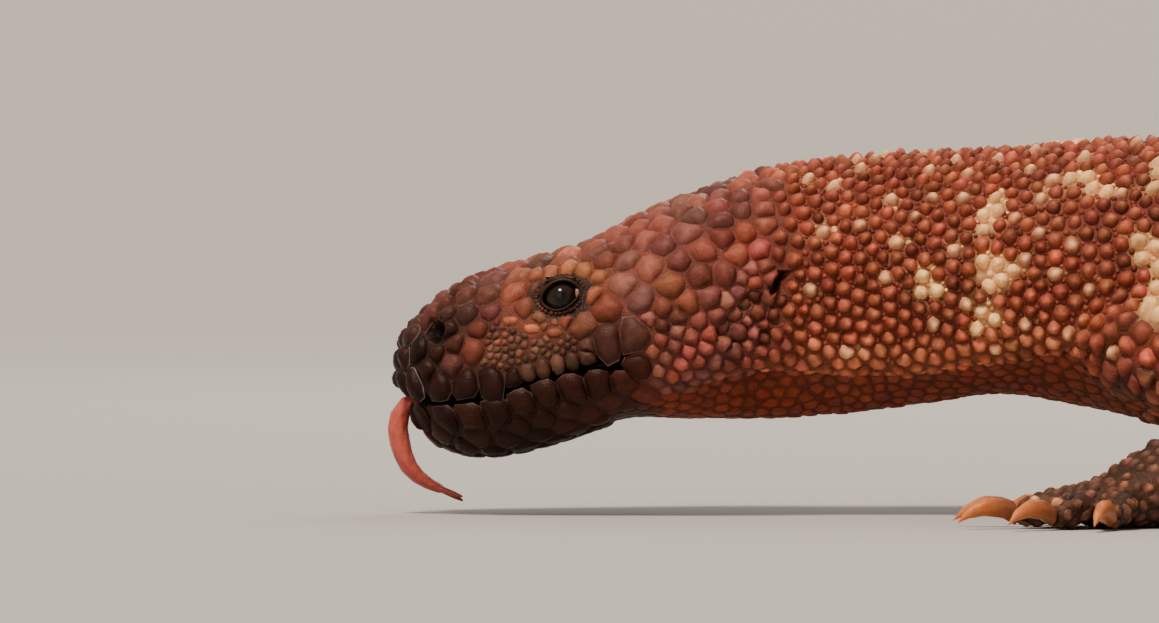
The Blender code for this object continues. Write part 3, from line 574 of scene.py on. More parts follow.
# Half the opening's length, its rise above and its drop below the eye's middle
lid_opening = (0.0032, 0.0024, 0.0025)
# Loops on the eyeball by size and lift, then loops towards the face by share of the way and lift
lid_loops = ((0.92, 0.00002), (0.95, 0.00040), (1.02, 0.00085), (1.10, 0.00090), (1.17, 0.00050))
lid_spread = ((0.20, 0.00010), (0.42, 0.00050), (0.68, 0.00045), (1.0, -0.0005))
lid_row, lid_row_lift, lid_grains = 0.62, 0.00044, 32
lid_roots, lid_normals, lid_sizes = [], [], []


def in_order(mesh):
    """Puts a mesh's faces in the order of their corners, because they come in another order each run."""
    mesh.verts.index_update()

    def number_of(face):
        number = 0
        for i in sorted(vert.index for vert in face.verts):
            number = number * len(mesh.verts) + i
        return number

    mesh.faces.sort(key=number_of)


lids = bmesh.new()
for side, centre in eye_centres.items():
    out = Vector((-0.10, side, 0.16)).normalized()
    back = (Vector((1, 0, 0)) - out * out.x).normalized()
    up = out.cross(back) * side
    up = up if up.z > 0 else -up

    def on_the_ball(turn, size, lift):
        """A place on the lid's thick edge, at a size times the opening, lifted off the eyeball."""
        a = lid_opening[0] * math.cos(turn) * size
        b = (lid_opening[1] if math.sin(turn) > 0 else lid_opening[2]) * math.sin(turn) * size
        b = b * (1 - 0.22 * math.cos(turn) ** 2) + 0.0006 * math.cos(turn) * size
        reach = eye_radius + lift
        return centre + back * a + up * b + out * math.sqrt(max(reach * reach - a * a - b * b, 0.0000009))

    def on_the_face(turn, share, lift):
        """A place between the lid's edge and the hide of the face, which it meets under the brow."""
        inner = on_the_ball(turn, lid_loops[-1][0], lid_loops[-1][1])
        for size in (1.45, 1.55, 1.65, 1.75, 1.85, 2.0):
            a = lid_opening[0] * math.cos(turn) * size
            b = (lid_opening[1] * (1.15 if math.sin(turn) > 0 else 1.0)) * math.sin(turn) * size
            hit = even_tree.ray_cast(centre + back * a + up * b + out * 0.012, -out)[0]
            if hit is not None and (hit - centre).length > eye_radius + 0.0009:
                break
        return inner.lerp(hit, share) + out * lift

    ring = bmesh.ops.create_circle(lids, segments=lid_sides, radius=0.001)["verts"]
    turn_of = {vert: i / lid_sides * 2 * math.pi for i, vert in enumerate(ring)}
    loops = [(on_the_ball, *loop) for loop in lid_loops] + [(on_the_face, *loop) for loop in lid_spread]
    for step, (where, size, lift) in enumerate(loops):
        if step:
            edges = [e for e in lids.edges if e.verts[0] in ring and e.verts[1] in ring]
            grown = bmesh.ops.extrude_edge_only(lids, edges=edges)["geom"]
            ring = [v for v in grown if isinstance(v, bmesh.types.BMVert)]
            turn_of |= {
                vert: turn_of[other]
                for vert in ring
                for other in (edge.other_vert(vert) for edge in vert.link_edges)
                if other in turn_of
            }
        for vert in ring:
            vert.co = where(turn_of[vert], size, lift)
    for i in range(lid_grains):
        turn = (i + chance.uniform(-0.25, 0.25)) / lid_grains * 2 * math.pi
        spot = on_the_face(turn, lid_row * chance.uniform(0.9, 1.1), lid_row_lift)
        away = (spot - centre).normalized()
        lid_roots.append(spot)
        lid_normals.append((away + out * 0.8).normalized())
        lid_sizes.append(0.0182 * (1.17 + 0.38 * lid_row) / lid_grains * chance.uniform(0.8, 1.1))
bmesh.ops.recalc_face_normals(lids, faces=lids.faces)
if sum(f.normal.y * (1 if f.calc_center_median().y > midline else -1) for f in lids.faces) < 0:
    bmesh.ops.reverse_faces(lids, faces=lids.faces)
in_order(lids)
eyelids = new_piece("eyelids", lids)


def faded(first, second, share):
    """Goes from one colour to another by a share for each point."""
    return np.array(first) * (1 - share)[:, None] + np.array(second) * share[:, None]


def lid_tones(points):
    """Lids are black-brown at their edge and above the eye, where the dark is partly painted shade under the
    brow, and brown on the fold below it, partly painted light.
    """
    across = (points[:, 0] - eye_middle.x) / lid_opening[0]
    rise = (points[:, 2] - eye_middle.z) / lid_opening[1]
    outer = smooth_step(1.10, 1.30, np.hypot(across, rise))
    brown = outer * (0.35 + 0.65 * smooth_step(0.2, -0.7, rise))
    return faded((0.024, 0.010, 0.007), (0.085, 0.030, 0.019), brown)


rounded = eyelids.modifiers.new("soft", "SUBSURF")
rounded.levels = rounded.render_levels = 1
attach(eyelids, "root")
on_lid = np.concatenate([np.zeros(len(roots), bool), np.ones(len(lid_roots), bool)])
roots = np.concatenate([roots, np.array(lid_roots)])
root_normals = np.concatenate([root_normals, np.array(lid_normals)])
root_nodes = np.concatenate([root_nodes, np.full(len(lid_roots), "head")])
spacing = np.concatenate([spacing, np.array(lid_sizes)])

# The markings.
# Snout and jaws are nearly black, the crown mauve and red-brown, the brow orange and the creased skin tan.
# Neck and back are red-brown with cream beads, alone, in rosettes and in broken bands on trunk and tail.
snout_black = np.array((0.0125, 0.0036, 0.0026))
crown_red = (0.185, 0.044, 0.027)
crown_mauve = (0.140, 0.052, 0.044)
brow_orange = np.array((0.300, 0.092, 0.046))
crease_tan = (0.100, 0.043, 0.026)
jaw_brown = (0.042, 0.0105, 0.0058)
jaw_red = (0.105, 0.024, 0.013)
neck_brown = (0.200, 0.041, 0.021)
back_brown = (0.165, 0.041, 0.024)
leg_brown = (0.068, 0.024, 0.015)
throat_dark = (0.175, 0.030, 0.013)
fold_orange_and_painted_light = (0.480, 0.140, 0.058)
bead_cream = (0.940, 0.470, 0.230)
bead_orange = (0.420, 0.150, 0.062)
rosette_yellow = np.array((0.900, 0.480, 0.195))
belly_tan = (0.160, 0.080, 0.040)
along = roots[:, 0] - snout
height = roots[:, 2]
beside = np.abs(roots[:, 1] - midline)
count = len(roots)
on_head = among(root_nodes, "head", "lower_jaw")
on_jaw = among(root_nodes, "lower_jaw")
on_neck = among(root_nodes, "neck")
on_tail = among(root_nodes, "tail")
on_torso = among(root_nodes, "torso")
on_leg = ~(on_head | on_neck | on_tail | on_torso)
downward = smooth_step(0.30, 0.80, -root_normals[:, 2])
plate = np.where(on_head, 1 - smooth_step(0.056, 0.070, along), 0.0)
plate *= 1 - 0.65 * smooth_step(0.043, 0.048, along) * smooth_step(0.0370, 0.0330, height) * ~on_jaw
throat = smooth_step(0.0003, 0.0018, below_fold(along, height)) * (on_head | on_neck | on_torso)
fold = np.exp(-(((below_fold(along, height) + 0.0022) / 0.0024) ** 2))
fold *= (along > 0.060) * (on_neck | on_torso)
on_toes = among(root_nodes, "hand", "foot")
creased = (along > 0.0150) & (along < 0.0335) & (height > 0.0240) & (height < 0.0325) & on_head & ~on_jaw


def mixed(a, b, share):
    """Blends two colours, or two lists of them, by a share for each scale."""
    a = np.broadcast_to(a, (count, 3))
    return a + (np.broadcast_to(b, (count, 3)) - a) * np.broadcast_to(share, count)[:, None]


def layered(tones, *layers):
    """Lays colours over one another, each with its share for each scale."""
    for layer, share in layers:
        tones = mixed(tones, layer, share)
    return tones


patches = 0.45 + 0.30 * np.sin(along * 520 + 1.0) * np.sin(height * 640)
patches += 0.22 * np.sin(beside * 500 + along * 230)
patches = np.clip(patches + chance.normal(0, 0.20, count), 0, 1)
around_eye = np.hypot(along - 0.0293, height - 0.0385) / 0.0085
on_arm = among(root_nodes, "upper_arm")
dark_snout = smooth_step(0.0260, 0.0060, along - 0.35 * (height - 0.034))
# Plates that face up keep less of the black, so the top of the snout is lighter and more mauve: partly
# painted light from above
dark_snout *= 1 - 0.50 * smooth_step(0.35, 0.85, root_normals[:, 2])
on_face = on_head & ~on_jaw
near_lip = height < mouth_height(roots[:, 0]) + 0.0055
tall_lips = np.hypot(along - 0.0388, (height - 0.0300) / 1.3) < 0.0036
brow = on_head & (spacing == brow_size)
under_eye = on_head & (spacing == under_eye_size)
colour = layered(
    neck_brown,
    (back_brown, smooth_step(0.11, 0.19, along)),
    (mixed(crown_red, crown_mauve, patches), smooth_step(0.072, 0.056, along)),
    (brow_orange * 0.7, on_face * 0.55 * smooth_step(1.3, 0.7, around_eye)),
    (leg_brown, on_leg * (1 - on_arm * smooth_step(0.012, 0.030, height))),
    (throat_dark, throat),
    (snout_black, dark_snout * on_head),
    (snout_black * 1.3, on_jaw * smooth_step(0.050, 0.040, along)),
    (jaw_brown, on_jaw * smooth_step(0.022, 0.040, along)),
    (jaw_red, on_jaw * smooth_step(0.037, 0.051, along)),
    (snout_black * 1.2, on_face & near_lip & (along < 0.034)),
    (snout_black * 2.6, (on_face & tall_lips) * 0.85),
    (crease_tan, creased * chance.uniform(0.35, 1.0, count)),
    (brow_orange, brow * 0.9),
    (brow_orange, under_eye * 0.60),
)
colour[on_lid] = lid_tones(roots[on_lid])
# The beads along the fold are orange, partly their own colour and partly painted light on the bulge above the
# fold
belly = downward * ~on_head * ~on_leg * smooth_step(0.11, 0.15, along)
colour = layered(colour, (fold_orange_and_painted_light, fold * 0.65), (belly_tan, belly * 0.7))
# Scales along the creases by the ear are darkened: painted shade in the creases
colour = colour * (1 - 0.55 * by_crease(along, height) * ~on_jaw)[:, None]
uneven = chance.normal(0, 0.28, count) * (1 - 0.55 * throat)
colour = colour * np.exp(uneven)[:, None] * (1 + chance.normal(0, 0.07, (count, 3)))

pale = np.zeros(count)
able = ~on_jaw & ~on_lid & (plate < 0.12) & (downward < 0.7) & (throat < 0.3)
near = neighbours(roots, 5)
lone = able & (chance.random(count) < np.where(on_leg, 0.06, np.where(on_neck, 0.40, 0.12)))
lone &= ~(lone[near] & (near > np.arange(count)[:, None])).any(1)
pale[lone] = chance.uniform(0.25, 0.66, lone.sum())
pale_tone = mixed(bead_orange, bead_cream, pale)

# The rosettes that the photograph shows: across and down in its pixels, and how many scales each has
seen_rosettes = ((985, 215, 4), (990, 276, 5), (925, 282, 3), (980, 325, 3), (1085, 185, 4), (1145, 250, 5),
                 (1152, 305, 4), (1158, 180, 3))
for px, py, members in seen_rosettes:
    aside = along - (photo_middle.x - snout) - (px - photo_pixels[0] / 2) * pixel_size
    up = height - photo_middle.z + (py - photo_pixels[1] / 2) * pixel_size
    lean = chance.uniform(0, math.pi)
    long_way = aside * math.cos(lean) + up * math.sin(lean)
    short_way = up * math.cos(lean) - aside * math.sin(lean)
    off = np.hypot(long_way, 1.5 * short_way) + 1.0 * (roots[:, 1] > midline)
    order = np.argsort(off)
    pale[order[members : members + 8]] = 0
    members = order[:members]
    pale[members] = 1
    pale_tone[members] = rosette_yellow * chance.uniform(0.8, 1.1)
seed_share = np.interp(along, (0.07, 0.16, 0.3), (0.006, 0.016, 0.03))
seeds = able & (on_neck | on_torso | on_leg) & (chance.random(count) < seed_share)
seeds &= ~((roots[:, 1] < midline) & (along < 0.135))
for middle in np.flatnonzero(seeds):
    members = [middle, *near[middle][: chance.integers(2, 5)]]
    pale[members] = 1
    pale_tone[members] = rosette_yellow * chance.uniform(0.75, 1.1)
wave = 0.35 * np.sin(roots[:, 1] * 80) + 0.25 * np.sin(along * 210 + 1)
band = 0.5 + 0.5 * np.cos(2 * math.pi * (along - 0.185) / np.where(on_tail, 0.052, 0.068) + wave)
banded = able & (along > 0.15) & ~on_leg & (chance.random(count) < 0.8 * smooth_step(0.62, 0.95, band))
pale[banded] = 1
pale_tone[banded] = rosette_yellow * chance.uniform(0.7, 1.1, banded.sum())[:, None]
pale_tone = pale_tone * chance.uniform(0.85, 1.12, count)[:, None]
colour = mixed(colour, pale_tone, np.where(pale < 0.7, pale * 1.25, 1))
colour = np.clip(colour, 0.003, 0.94)
lone_share = ((pale > 0) & (pale < 0.7)) * np.clip(0.35 + pale * 1.3, 0, 1)
# Colours for the tops of the scales: mostly a painted highlight lighter than the scale, and the real cream
# tips of lone pale beads
tip_and_highlight = layered(
    colour * 1.9,
    (bead_orange, chance.uniform(0, 0.75, count) ** 2 * able),
    (bead_cream, lone_share),
    (colour * 1.12, pale >= 0.7),
    (colour * 1.2, np.maximum(plate, throat)),
)
hair_line = layered(
    (0.520, 0.300, 0.230),
    ((0.330, 0.220, 0.190), smooth_step(0.034, 0.014, along)),
    ((0.120, 0.066, 0.052), on_jaw * smooth_step(0.050, 0.035, along)),
    ((0.060, 0.030, 0.018), creased),
    (colour * 1.3, np.clip(throat + downward, 0, 1)),
)
# The tone of the hide between the scales is darker than the scales: partly the skin's own dark colour, partly
# painted shade in the gaps
between = layered(
    colour * 0.5,
    ((0.165, 0.026, 0.014), 0.5 * able * ~on_leg),
    (colour * (0.66, 0.43, 0.36) + hair_line * 0.02, plate),
    (colour * 0.75, (pale > 0.5) & (plate < 0.4)),
    ((0.016, 0.008, 0.006), on_lid),
)

# The hide takes the colour between the scales round each place, and painted shade darkens it in the mouth,
# nostrils and ears
skin_tree = tree_of(roots)
skin_tone = np.array([between[[f[1] for f in skin_tree.find_n(p, 3)]].mean(0) for p in even_points])
hollow_shade = smooth_step(0.0003, 0.0012, pressed)
skin_tone = skin_tone * (1 - 0.90 * hollow_shade)[:, None]


def add_node(made, kind, feeds, operation=None, **numbers):
    """Adds a node to a material, with what feeds its sockets and the numbers that others hold."""
    node = made.node_tree.nodes.new("ShaderNode" + kind)
    if operation:
        node.operation = operation
    for name, number in numbers.items():
        node.inputs[name.replace("_", " ")].default_value = number
    for name, source in feeds.items():
        made.node_tree.links.new(source, node.inputs[name])
    return node


def painted(made, shade):
    """Gives a material the colours stored at the points, made lighter and darker by another node."""
    paint = add_node(made, "Attribute", {})
    paint.attribute_name = "scale_colour"
    tint = add_node(made, "VectorMath", {0: paint.outputs["Color"], "Scale": shade}, "SCALE")
    made.node_tree.links.new(tint.outputs[0], made.node_tree.nodes["Principled BSDF"].inputs["Base Color"])


def scale_material(name, roughness, mottling, wrinkles, sheen=0.24, depth=0):
    """Painted by the colours stored at each scale's points, which hold painted highlight and shade besides
    its own colour, with fine mottling, creases and grain, and a dull sheen.
    """
    made = bpy.data.materials.new(name)
    made.use_nodes = True
    shader = made.node_tree.nodes["Principled BSDF"]
    shader.inputs["Specular IOR Level"].default_value = sheen
    shader.inputs["Specular Tint"].default_value = (1.0, 0.76, 0.62, 1)
    if depth:
        shader.inputs["Subsurface Weight"].default_value = depth
        shader.inputs["Subsurface Scale"].default_value = 0.002
    place = add_node(made, "TexCoord", {}).outputs["Object"]
    mottle = add_node(made, "TexNoise", {"Vector": place}, Scale=700, Detail=5).outputs["Fac"]
    shade = add_node(made, "MapRange", {"Value": mottle}, From_Min=0.3, From_Max=0.7,
                     To_Min=1 - mottling, To_Max=1 + mottling)
    painted(made, shade.outputs["Result"])
    rough = add_node(made, "MapRange", {"Value": mottle}, To_Min=roughness - 0.12, To_Max=roughness + 0.18)
    grain = add_node(made, "TexNoise", {"Vector": place}, Scale=2400, Detail=3).outputs["Fac"]
    crease = add_node(made, "TexVoronoi", {"Vector": place}, Scale=1700)
    crease.feature = "DISTANCE_TO_EDGE"
    sunk = add_node(made, "MapRange", {"Value": crease.outputs["Distance"]}, From_Max=0.25, To_Max=wrinkles)
    relief = add_node(made, "Math", {0: sunk.outputs["Result"], 1: grain}).outputs["Value"]
    bump = add_node(made, "Bump", {"Height": relief}, Strength=0.35, Distance=0.0002)
    made.node_tree.links.new(rough.outputs["Result"], shader.inputs["Roughness"])
    made.node_tree.links.new(bump.outputs["Normal"], shader.inputs["Normal"])
    return made


def dress(obj, tones, material):
    """Stores a colour for each point of an object, and gives it a material."""
    paint = obj.data.color_attributes.new("scale_colour", "FLOAT_COLOR", "POINT")
    rgba = np.ones((len(tones), 4), np.float32)
    rgba[:, :3] = tones
    paint.data.foreach_set("color", rgba.ravel())
    obj.data.materials.append(material)


dress(hide, skin_tone, scale_material("hide", 0.55, 0.30, 0.8))
lid_points = vectors_of(eyelids.data.vertices, "co")
dress(eyelids, lid_tones(lid_points) * 0.85, scale_material("eyelid", 0.42, 0.35, 0.6))

# The scales.
# Head plates are low, many-sided and close together, with thin dry edges. Body beads are tall and round, each
# on a small bone, with granules between them. Belly and throat scales are flat. All are of dull horn.
highest = 0.00140
bulk = np.exp(chance.normal(0, np.where(plate > 0.3, 0.05, 0.09), count))
widest = spacing * np.where(plate > 0.3, 0.95, 0.55 + 0.13 * downward) * bulk
widest[on_leg] *= 1.18
widest[under_eye] = 0.0031
tall = spacing * (0.30 * plate + 0.46 * (1 - plate)) * (1 - 0.60 * downward) * (1 - 0.62 * throat)
tall *= 1 - 0.40 * on_toes
tall = np.minimum(tall * np.exp(chance.normal(0, 0.12, count)), highest)
tall = np.where(pale > 0.6, tall * 1.12, tall)
tall[on_lid] = spacing[on_lid] * 0.30
groove = np.where(plate > 0.3, 0.00002, 0.00007)
flatness = 1.45 + 0.65 * plate + 1.2 * downward + 0.6 * throat
narrow = np.where(under_eye, 0.30, np.where(creased, chance.uniform(0.5, 1.0, count), 1.0))


def tangents(normals):
    """Two directions along the hide at each root, the first one towards the tail."""
    back = np.tile((1.0, 0.0, 0.0), (len(normals), 1))
    back[np.abs(normals[:, 0]) > 0.9] = (0.0, 0.0, 1.0)
    first = back - normals * (back * normals).sum(1)[:, None]
    first /= np.linalg.norm(first, axis=1)[:, None]
    return first, np.cross(normals, first)


def outlines(points, normals, reach, gap, directions):
    """How far each scale spreads in each direction before it meets a neighbour or is as wide as it grows."""
    first, second = tangents(normals)
    near = neighbours(points, 16)
    to = points[near] - points[:, None]
    a = (to * first[:, None]).sum(2)
    b = (to * second[:, None]).sum(2)
    distance = np.maximum(np.hypot(a, b), 1e-9)
    share = reach[:, None] / (reach[:, None] + reach[near])
    facing = (normals[:, None] * normals[near]).sum(2) > 0
    turns = np.arange(directions) / directions * 2 * math.pi
    cosine = (a[..., None] * np.cos(turns) + b[..., None] * np.sin(turns)) / distance[..., None]
    bound = (distance * share)[..., None] / np.maximum(cosine, 0.05)
    bound[(cosine < 0.05) | ~facing[..., None]] = 1.0
    soft = (np.power(bound * 1000, -26.0).sum(1)) ** (-1 / 26) / 1000
    limit = reach[:, None] / np.sqrt(np.cos(turns) ** 2 + (np.sin(turns) / narrow[:, None]) ** 2)
    spread = (np.power(soft * 1000, -10) + np.power(limit * 1000, -10)) ** (-1 / 10) / 1000
    spread *= 1 - 0.07 * chance.random(spread.shape)
    spread = np.maximum(spread - gap[:, None], reach[:, None] * 0.20)
    facial = np.flatnonzero(points[:, 0] < ear_top[0] + 0.006)
    for _ in range(12):
        rim = first[facial, None] * np.cos(turns)[:, None] + second[facial, None] * np.sin(turns)[:, None]
        rim = points[facial, None] + rim * spread[facial][..., None]
        covers = hollow_at(rim.reshape(-1, 3), 0.0032).reshape(len(facial), directions)
        spread[facial] *= np.where(covers, 0.88, 1.0)
    return spread


def dome(petals, radii):
    """A flat disc with rings at the given radii, as points and faces, to be shaped into scales."""
    mesh = bmesh.new()
    bmesh.ops.create_circle(mesh, cap_ends=True, cap_tris=True, segments=petals, radius=radii[0])
    for inner, outer in zip(radii, radii[1:]):
        rim = [e for e in mesh.edges if e.is_boundary]
        grown = bmesh.ops.extrude_edge_only(mesh, edges=rim)
        moved = [v for v in grown["geom"] if isinstance(v, bmesh.types.BMVert)]
        bmesh.ops.scale(mesh, vec=(outer / inner,) * 3, verts=moved)
    bmesh.ops.recalc_face_normals(mesh, faces=mesh.faces)
    mesh.normal_update()
    if sum(f.normal.z for f in mesh.faces) < 0:
        bmesh.ops.reverse_faces(mesh, faces=mesh.faces)
    in_order(mesh)
    points = np.array([v.co for v in mesh.verts])
    triangles = np.array([[v.index for v in f.verts] for f in mesh.faces if len(f.verts) == 3])
    quads = np.array([[v.index for v in f.verts] for f in mesh.faces if len(f.verts) == 4])
    mesh.free()
    return points, triangles, quads


def unwrapped(points, nodes):
    """Each root's place on an unwrap of the hide: body by length and turn, each leg in its own strip."""
    low, high = cad_box
    u = (points[:, 0] - low[0]) / (high[0] - low[0])
    turn = np.zeros(len(points))
    for name in sorted(set(nodes)):
        mine = nodes == name
        box_low, box_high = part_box(str(name))
        middle = (box_low + box_high) / 2
        turn[mine] = np.arctan2(points[mine, 1] - middle.y, points[mine, 2] - middle.z) / (2 * math.pi) + 0.5
        if name in legs:
            leg, length = divmod(legs.index(name), len(fore_parts))
            far = np.linalg.norm(points[mine] - np.array((middle.x, midline, middle.z)), axis=1)
            u[mine] = 0.02 + leg * 0.245 + length * 0.08 + np.clip(far, 0, 0.12) / 0.12 * 0.075
            turn[mine] = 1.04 + turn[mine] * 0.55
    return np.stack([0.01 + 0.98 * u, 0.01 + 0.6 * turn], 1)


def grow_scales(name, scales, chosen, petals, radii, material):
    """Grows the chosen scales as one joined piece."""
    scales = (values[chosen] for values in scales.values())
    root, normal, spread, tall, flatness, tone, crest, hem_tone, hem_share, uv = scales
    disc, triangles, quads = dome(petals, radii)
    rho = np.hypot(disc[:, 0], disc[:, 1])
    petal = np.floor(np.arctan2(disc[:, 1], disc[:, 0]) / (2 * math.pi) * petals + 0.25).astype(int) % petals
    turn = petal / petals * 2 * math.pi
    first, second = tangents(normal)
    turned = first[:, None] * np.cos(turn)[:, None] + second[:, None] * np.sin(turn)[:, None]
    profile = np.power(np.clip(1 - np.power(rho, flatness[:, None]), 0, 1), 0.74)
    uneven = 1 + 0.06 * chance.normal(size=(len(root), len(disc)))
    uneven[:, 0] = uneven[:, 1 : petals + 1].mean(1)
    drop = np.minimum(0.00026, spread.mean(1) * 0.30)
    lift = tall[:, None] * profile * uneven - drop[:, None] * smooth_step(0.80, 1.0, rho)
    points = root[:, None] + (rho * spread[:, petal * (spread.shape[1] // petals)])[..., None] * turned
    points += first[:, None] * (0.28 * tall[:, None] * profile)[..., None]
    points += normal[:, None] * lift[..., None]
    points[..., 2] = np.maximum(points[..., 2], 0.00005)
    starts = (np.arange(len(root)) * len(disc))[:, None, None]
    faces = (triangles[None] + starts).reshape(-1, 3).tolist()
    faces += (quads[None] + starts).reshape(-1, 4).tolist()
    data = bpy.data.meshes.new(name)
    data.from_pydata(points.reshape(-1, 3).tolist(), [], faces)
    # Each scale grows lighter towards its top, a painted highlight that also carries the cream tips of pale
    # beads, and takes its hem tone at the edge
    hem = smooth_step(0.95, 0.995, rho)[:, None]
    top = smooth_step(0.80, 0.05, rho)[:, None]
    tones = tone[:, None] + (crest - tone)[:, None] * top
    tones = tones + (hem_tone[:, None] - tones) * hem * hem_share[:, None, None]
    spot = uv[:, None] + 0.0015 * rho[:, None] * np.stack([np.cos(turn), np.sin(turn)], 1)
    corners = np.empty(len(data.loops), np.int32)
    data.loops.foreach_get("vertex_index", corners)
    unwrap = data.uv_layers.new(name="OFBake")
    unwrap.data.foreach_set("uv", spot.reshape(-1, 2)[corners].astype(np.float32).ravel())
    data.shade_smooth()
    made = placed(name, data)
    dress(made, tones.reshape(-1, 3), material)
    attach(made, "root")


directions = 12
# Beads get a hem: a pale dry one on a random share of them, and on the rest a tone darker than the bead,
# painted shade at its base
dry = (chance.random(count) < 0.4) & able
dry_edge_and_shade = np.where(dry[:, None], np.array((0.270, 0.115, 0.078)), between * 1.6)
coat = {
    "root": roots,
    "normal": root_normals,
    "spread": outlines(roots, root_normals, widest, groove, directions),
    "tall": tall,
    "flatness": flatness,
    "tone": colour,
    "crest": tip_and_highlight,
    "hem_tone": hair_line * plate[:, None] + dry_edge_and_shade * (1 - plate)[:, None],
    "hem_share": (0.45 * (1 - plate) + plate * chance.uniform(0.15, 0.95, count)) * ~on_lid,
    "uv": unwrapped(roots, root_nodes),
}
coat["spread"][on_lid] = spacing[on_lid, None] * 0.50
plates = scale_material("horny plates", 0.40, 0.24, 0.4, 0.13)
beads = scale_material("bead scales", 0.52, 0.26, 0.5)
# Where the rings of points lie on a scale, from its middle to its edge
fine_rings = (0.32, 0.62, 0.84, 0.955, 1.0)
plain_rings = (0.40, 0.74, 0.93, 1.0)
small_rings = (0.55, 0.9, 1.0)
flat_rings = (0.7, 1.0)
view_end = 0.165
in_view = along < view_end
left_side = roots[:, 1] < midline
torso_low, torso_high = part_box("torso")
front_half = on_torso & ~in_view & (roots[:, 0] < (torso_low.x + torso_high.x) / 2)
rear_half = on_torso & ~in_view & ~front_half
for name, chosen, petals, radii, material, slot in (
    ("head_plates", on_face & ~on_lid, 12, fine_rings, plates, "head_skin"),
    ("eyelid_granules", on_lid, 6, small_rings, plates, "head_skin"),
    ("jaw_scales", on_jaw, 12, fine_rings, plates, "jaw_skin"),
    ("neck_beads", on_neck, 12, fine_rings, beads, "neck_skin"),
    ("shoulder_beads", on_torso & in_view, 12, fine_rings, beads, "body_skin"),
    ("front_back_beads", front_half, 12, plain_rings, beads, "body_skin"),
    ("rear_back_beads", rear_half, 12, plain_rings, beads, "body_skin"),
    ("tail_beads", on_tail, 12, plain_rings, beads, "tail_skin"),
    ("left_leg_beads", on_leg & ~on_toes & left_side, 12, plain_rings, beads, "limb_skin"),
    ("right_leg_beads", on_leg & ~on_toes & ~left_side, 12, plain_rings, beads, "limb_skin"),
    ("toe_beads", on_toes, 12, small_rings, beads, "limb_skin"),
):
    grow_scales(name, coat, chosen, petals, radii, material)


def granules_between(chosen):
    """Granules for the gaps where three scales meet: place, size and the number of a scale beside it."""
    near = neighbours(roots, 9)
    first, second = tangents(root_normals)
    seen = {}
    for i in np.flatnonzero(chosen):
        to = roots[near[i]] - roots[i]
        order = near[i][np.argsort(np.arctan2(to @ second[i], to @ first[i]))]
        for j, k in zip(order, np.roll(order, -1)):
            a, b, c = roots[[i, j, k]]
            u, v = b - a, c - a
            cross = np.cross(u, v)
            area = cross @ cross
            if area < 1e-14:
                continue
            middle = a + (np.cross(cross, u) * (v @ v) + np.cross(v, cross) * (u @ u)) / (2 * area)
            gap = np.linalg.norm(middle - a) - 0.47 * spacing[[i, j, k]].mean()
            if 0.00012 < gap < 0.0009:
                seen[tuple(sorted((i, j, k)))] = (middle, gap)
    return [(middle, gap, key[0]) for key, (middle, gap) in seen.items()]


grains = granules_between((on_neck | on_torso) & (throat < 0.3) & (downward < 0.3))
grain_places, grain_normals, _ = landed([g[0] for g in grains])
grain_near = np.array([g[2] for g in grains])
room = neighbours(grain_places, 1)[:, 0]
crowded = np.linalg.norm(grain_places - grain_places[room], axis=1) < 0.0006
kept_grains = ~(crowded & (np.arange(len(grains)) > room))
kept_grains &= ~barred(grain_places)
grain_places, grain_normals, grain_near = (v[kept_grains] for v in (grain_places, grain_normals, grain_near))
grain_size = np.clip(np.array([g[1] for g in grains])[kept_grains] + 0.00010, 0.00025, 0.0007)
# Granules take the dark tone between the scales, which is partly painted shade
grain_tone = between[grain_near] * 0.95 * np.exp(chance.normal(0, 0.25, len(grain_near)))[:, None]
granules = {
    "root": grain_places,
    "normal": grain_normals,
    "spread": np.repeat(grain_size[:, None], directions, axis=1),
    "tall": grain_size * 0.6,
    "flatness": np.full(len(grain_near), 2.0),
    "tone": grain_tone,
    # Granules are lighter at their tops: painted highlight
    "crest": grain_tone * 1.4,
    "hem_tone": grain_tone,
    "hem_share": np.zeros(len(grain_near)),
    "uv": coat["uv"][grain_near],
}
grain_front = grain_places[:, 0] - snout < view_end
grow_scales("front_granules", granules, grain_front, 6, small_rings, beads)
grow_scales("back_granules", granules, ~grain_front, 6, flat_rings, beads)

# The eyes.
# Each is a dark glossy ball with a low clear bulge in front. The iris is black-brown, with a grey-blue
# painted reflection on its lower edge, and a scrap of pink flesh fills the rear corner between the lids.
eyes = bmesh.new()
for side, centre in eye_centres.items():
    ball = bmesh.ops.create_uvsphere(eyes, u_segments=40, v_segments=24, radius=eye_radius + 0.00005)["verts"]
    bmesh.ops.rotate(eyes, verts=ball, cent=(0, 0, 0), matrix=Matrix.Rotation(math.radians(90), 3, "X"))
    for vert in ball:
        front = vert.co.normalized().y * side
        vert.co.y += side * 0.00025 * smooth_step(0.80, 0.97, front)
    bmesh.ops.translate(eyes, verts=ball, vec=centre)
in_order(eyes)
eye_look = plain_material("eye", (0.01, 0.01, 0.01), 0.05)
eye_look.node_tree.nodes["Principled BSDF"].inputs["Specular IOR Level"].default_value = 0.25
place = add_node(eye_look, "TexCoord", {}).outputs["Object"]
painted(eye_look, add_node(eye_look, "TexNoise", {"Vector": place}, Scale=1500).outputs["Fac"])
eyeballs = new_piece("eyeballs", eyes)
eye_points = vectors_of(eyeballs.data.vertices, "co")
eye_tones = np.empty((len(eye_points), 3))
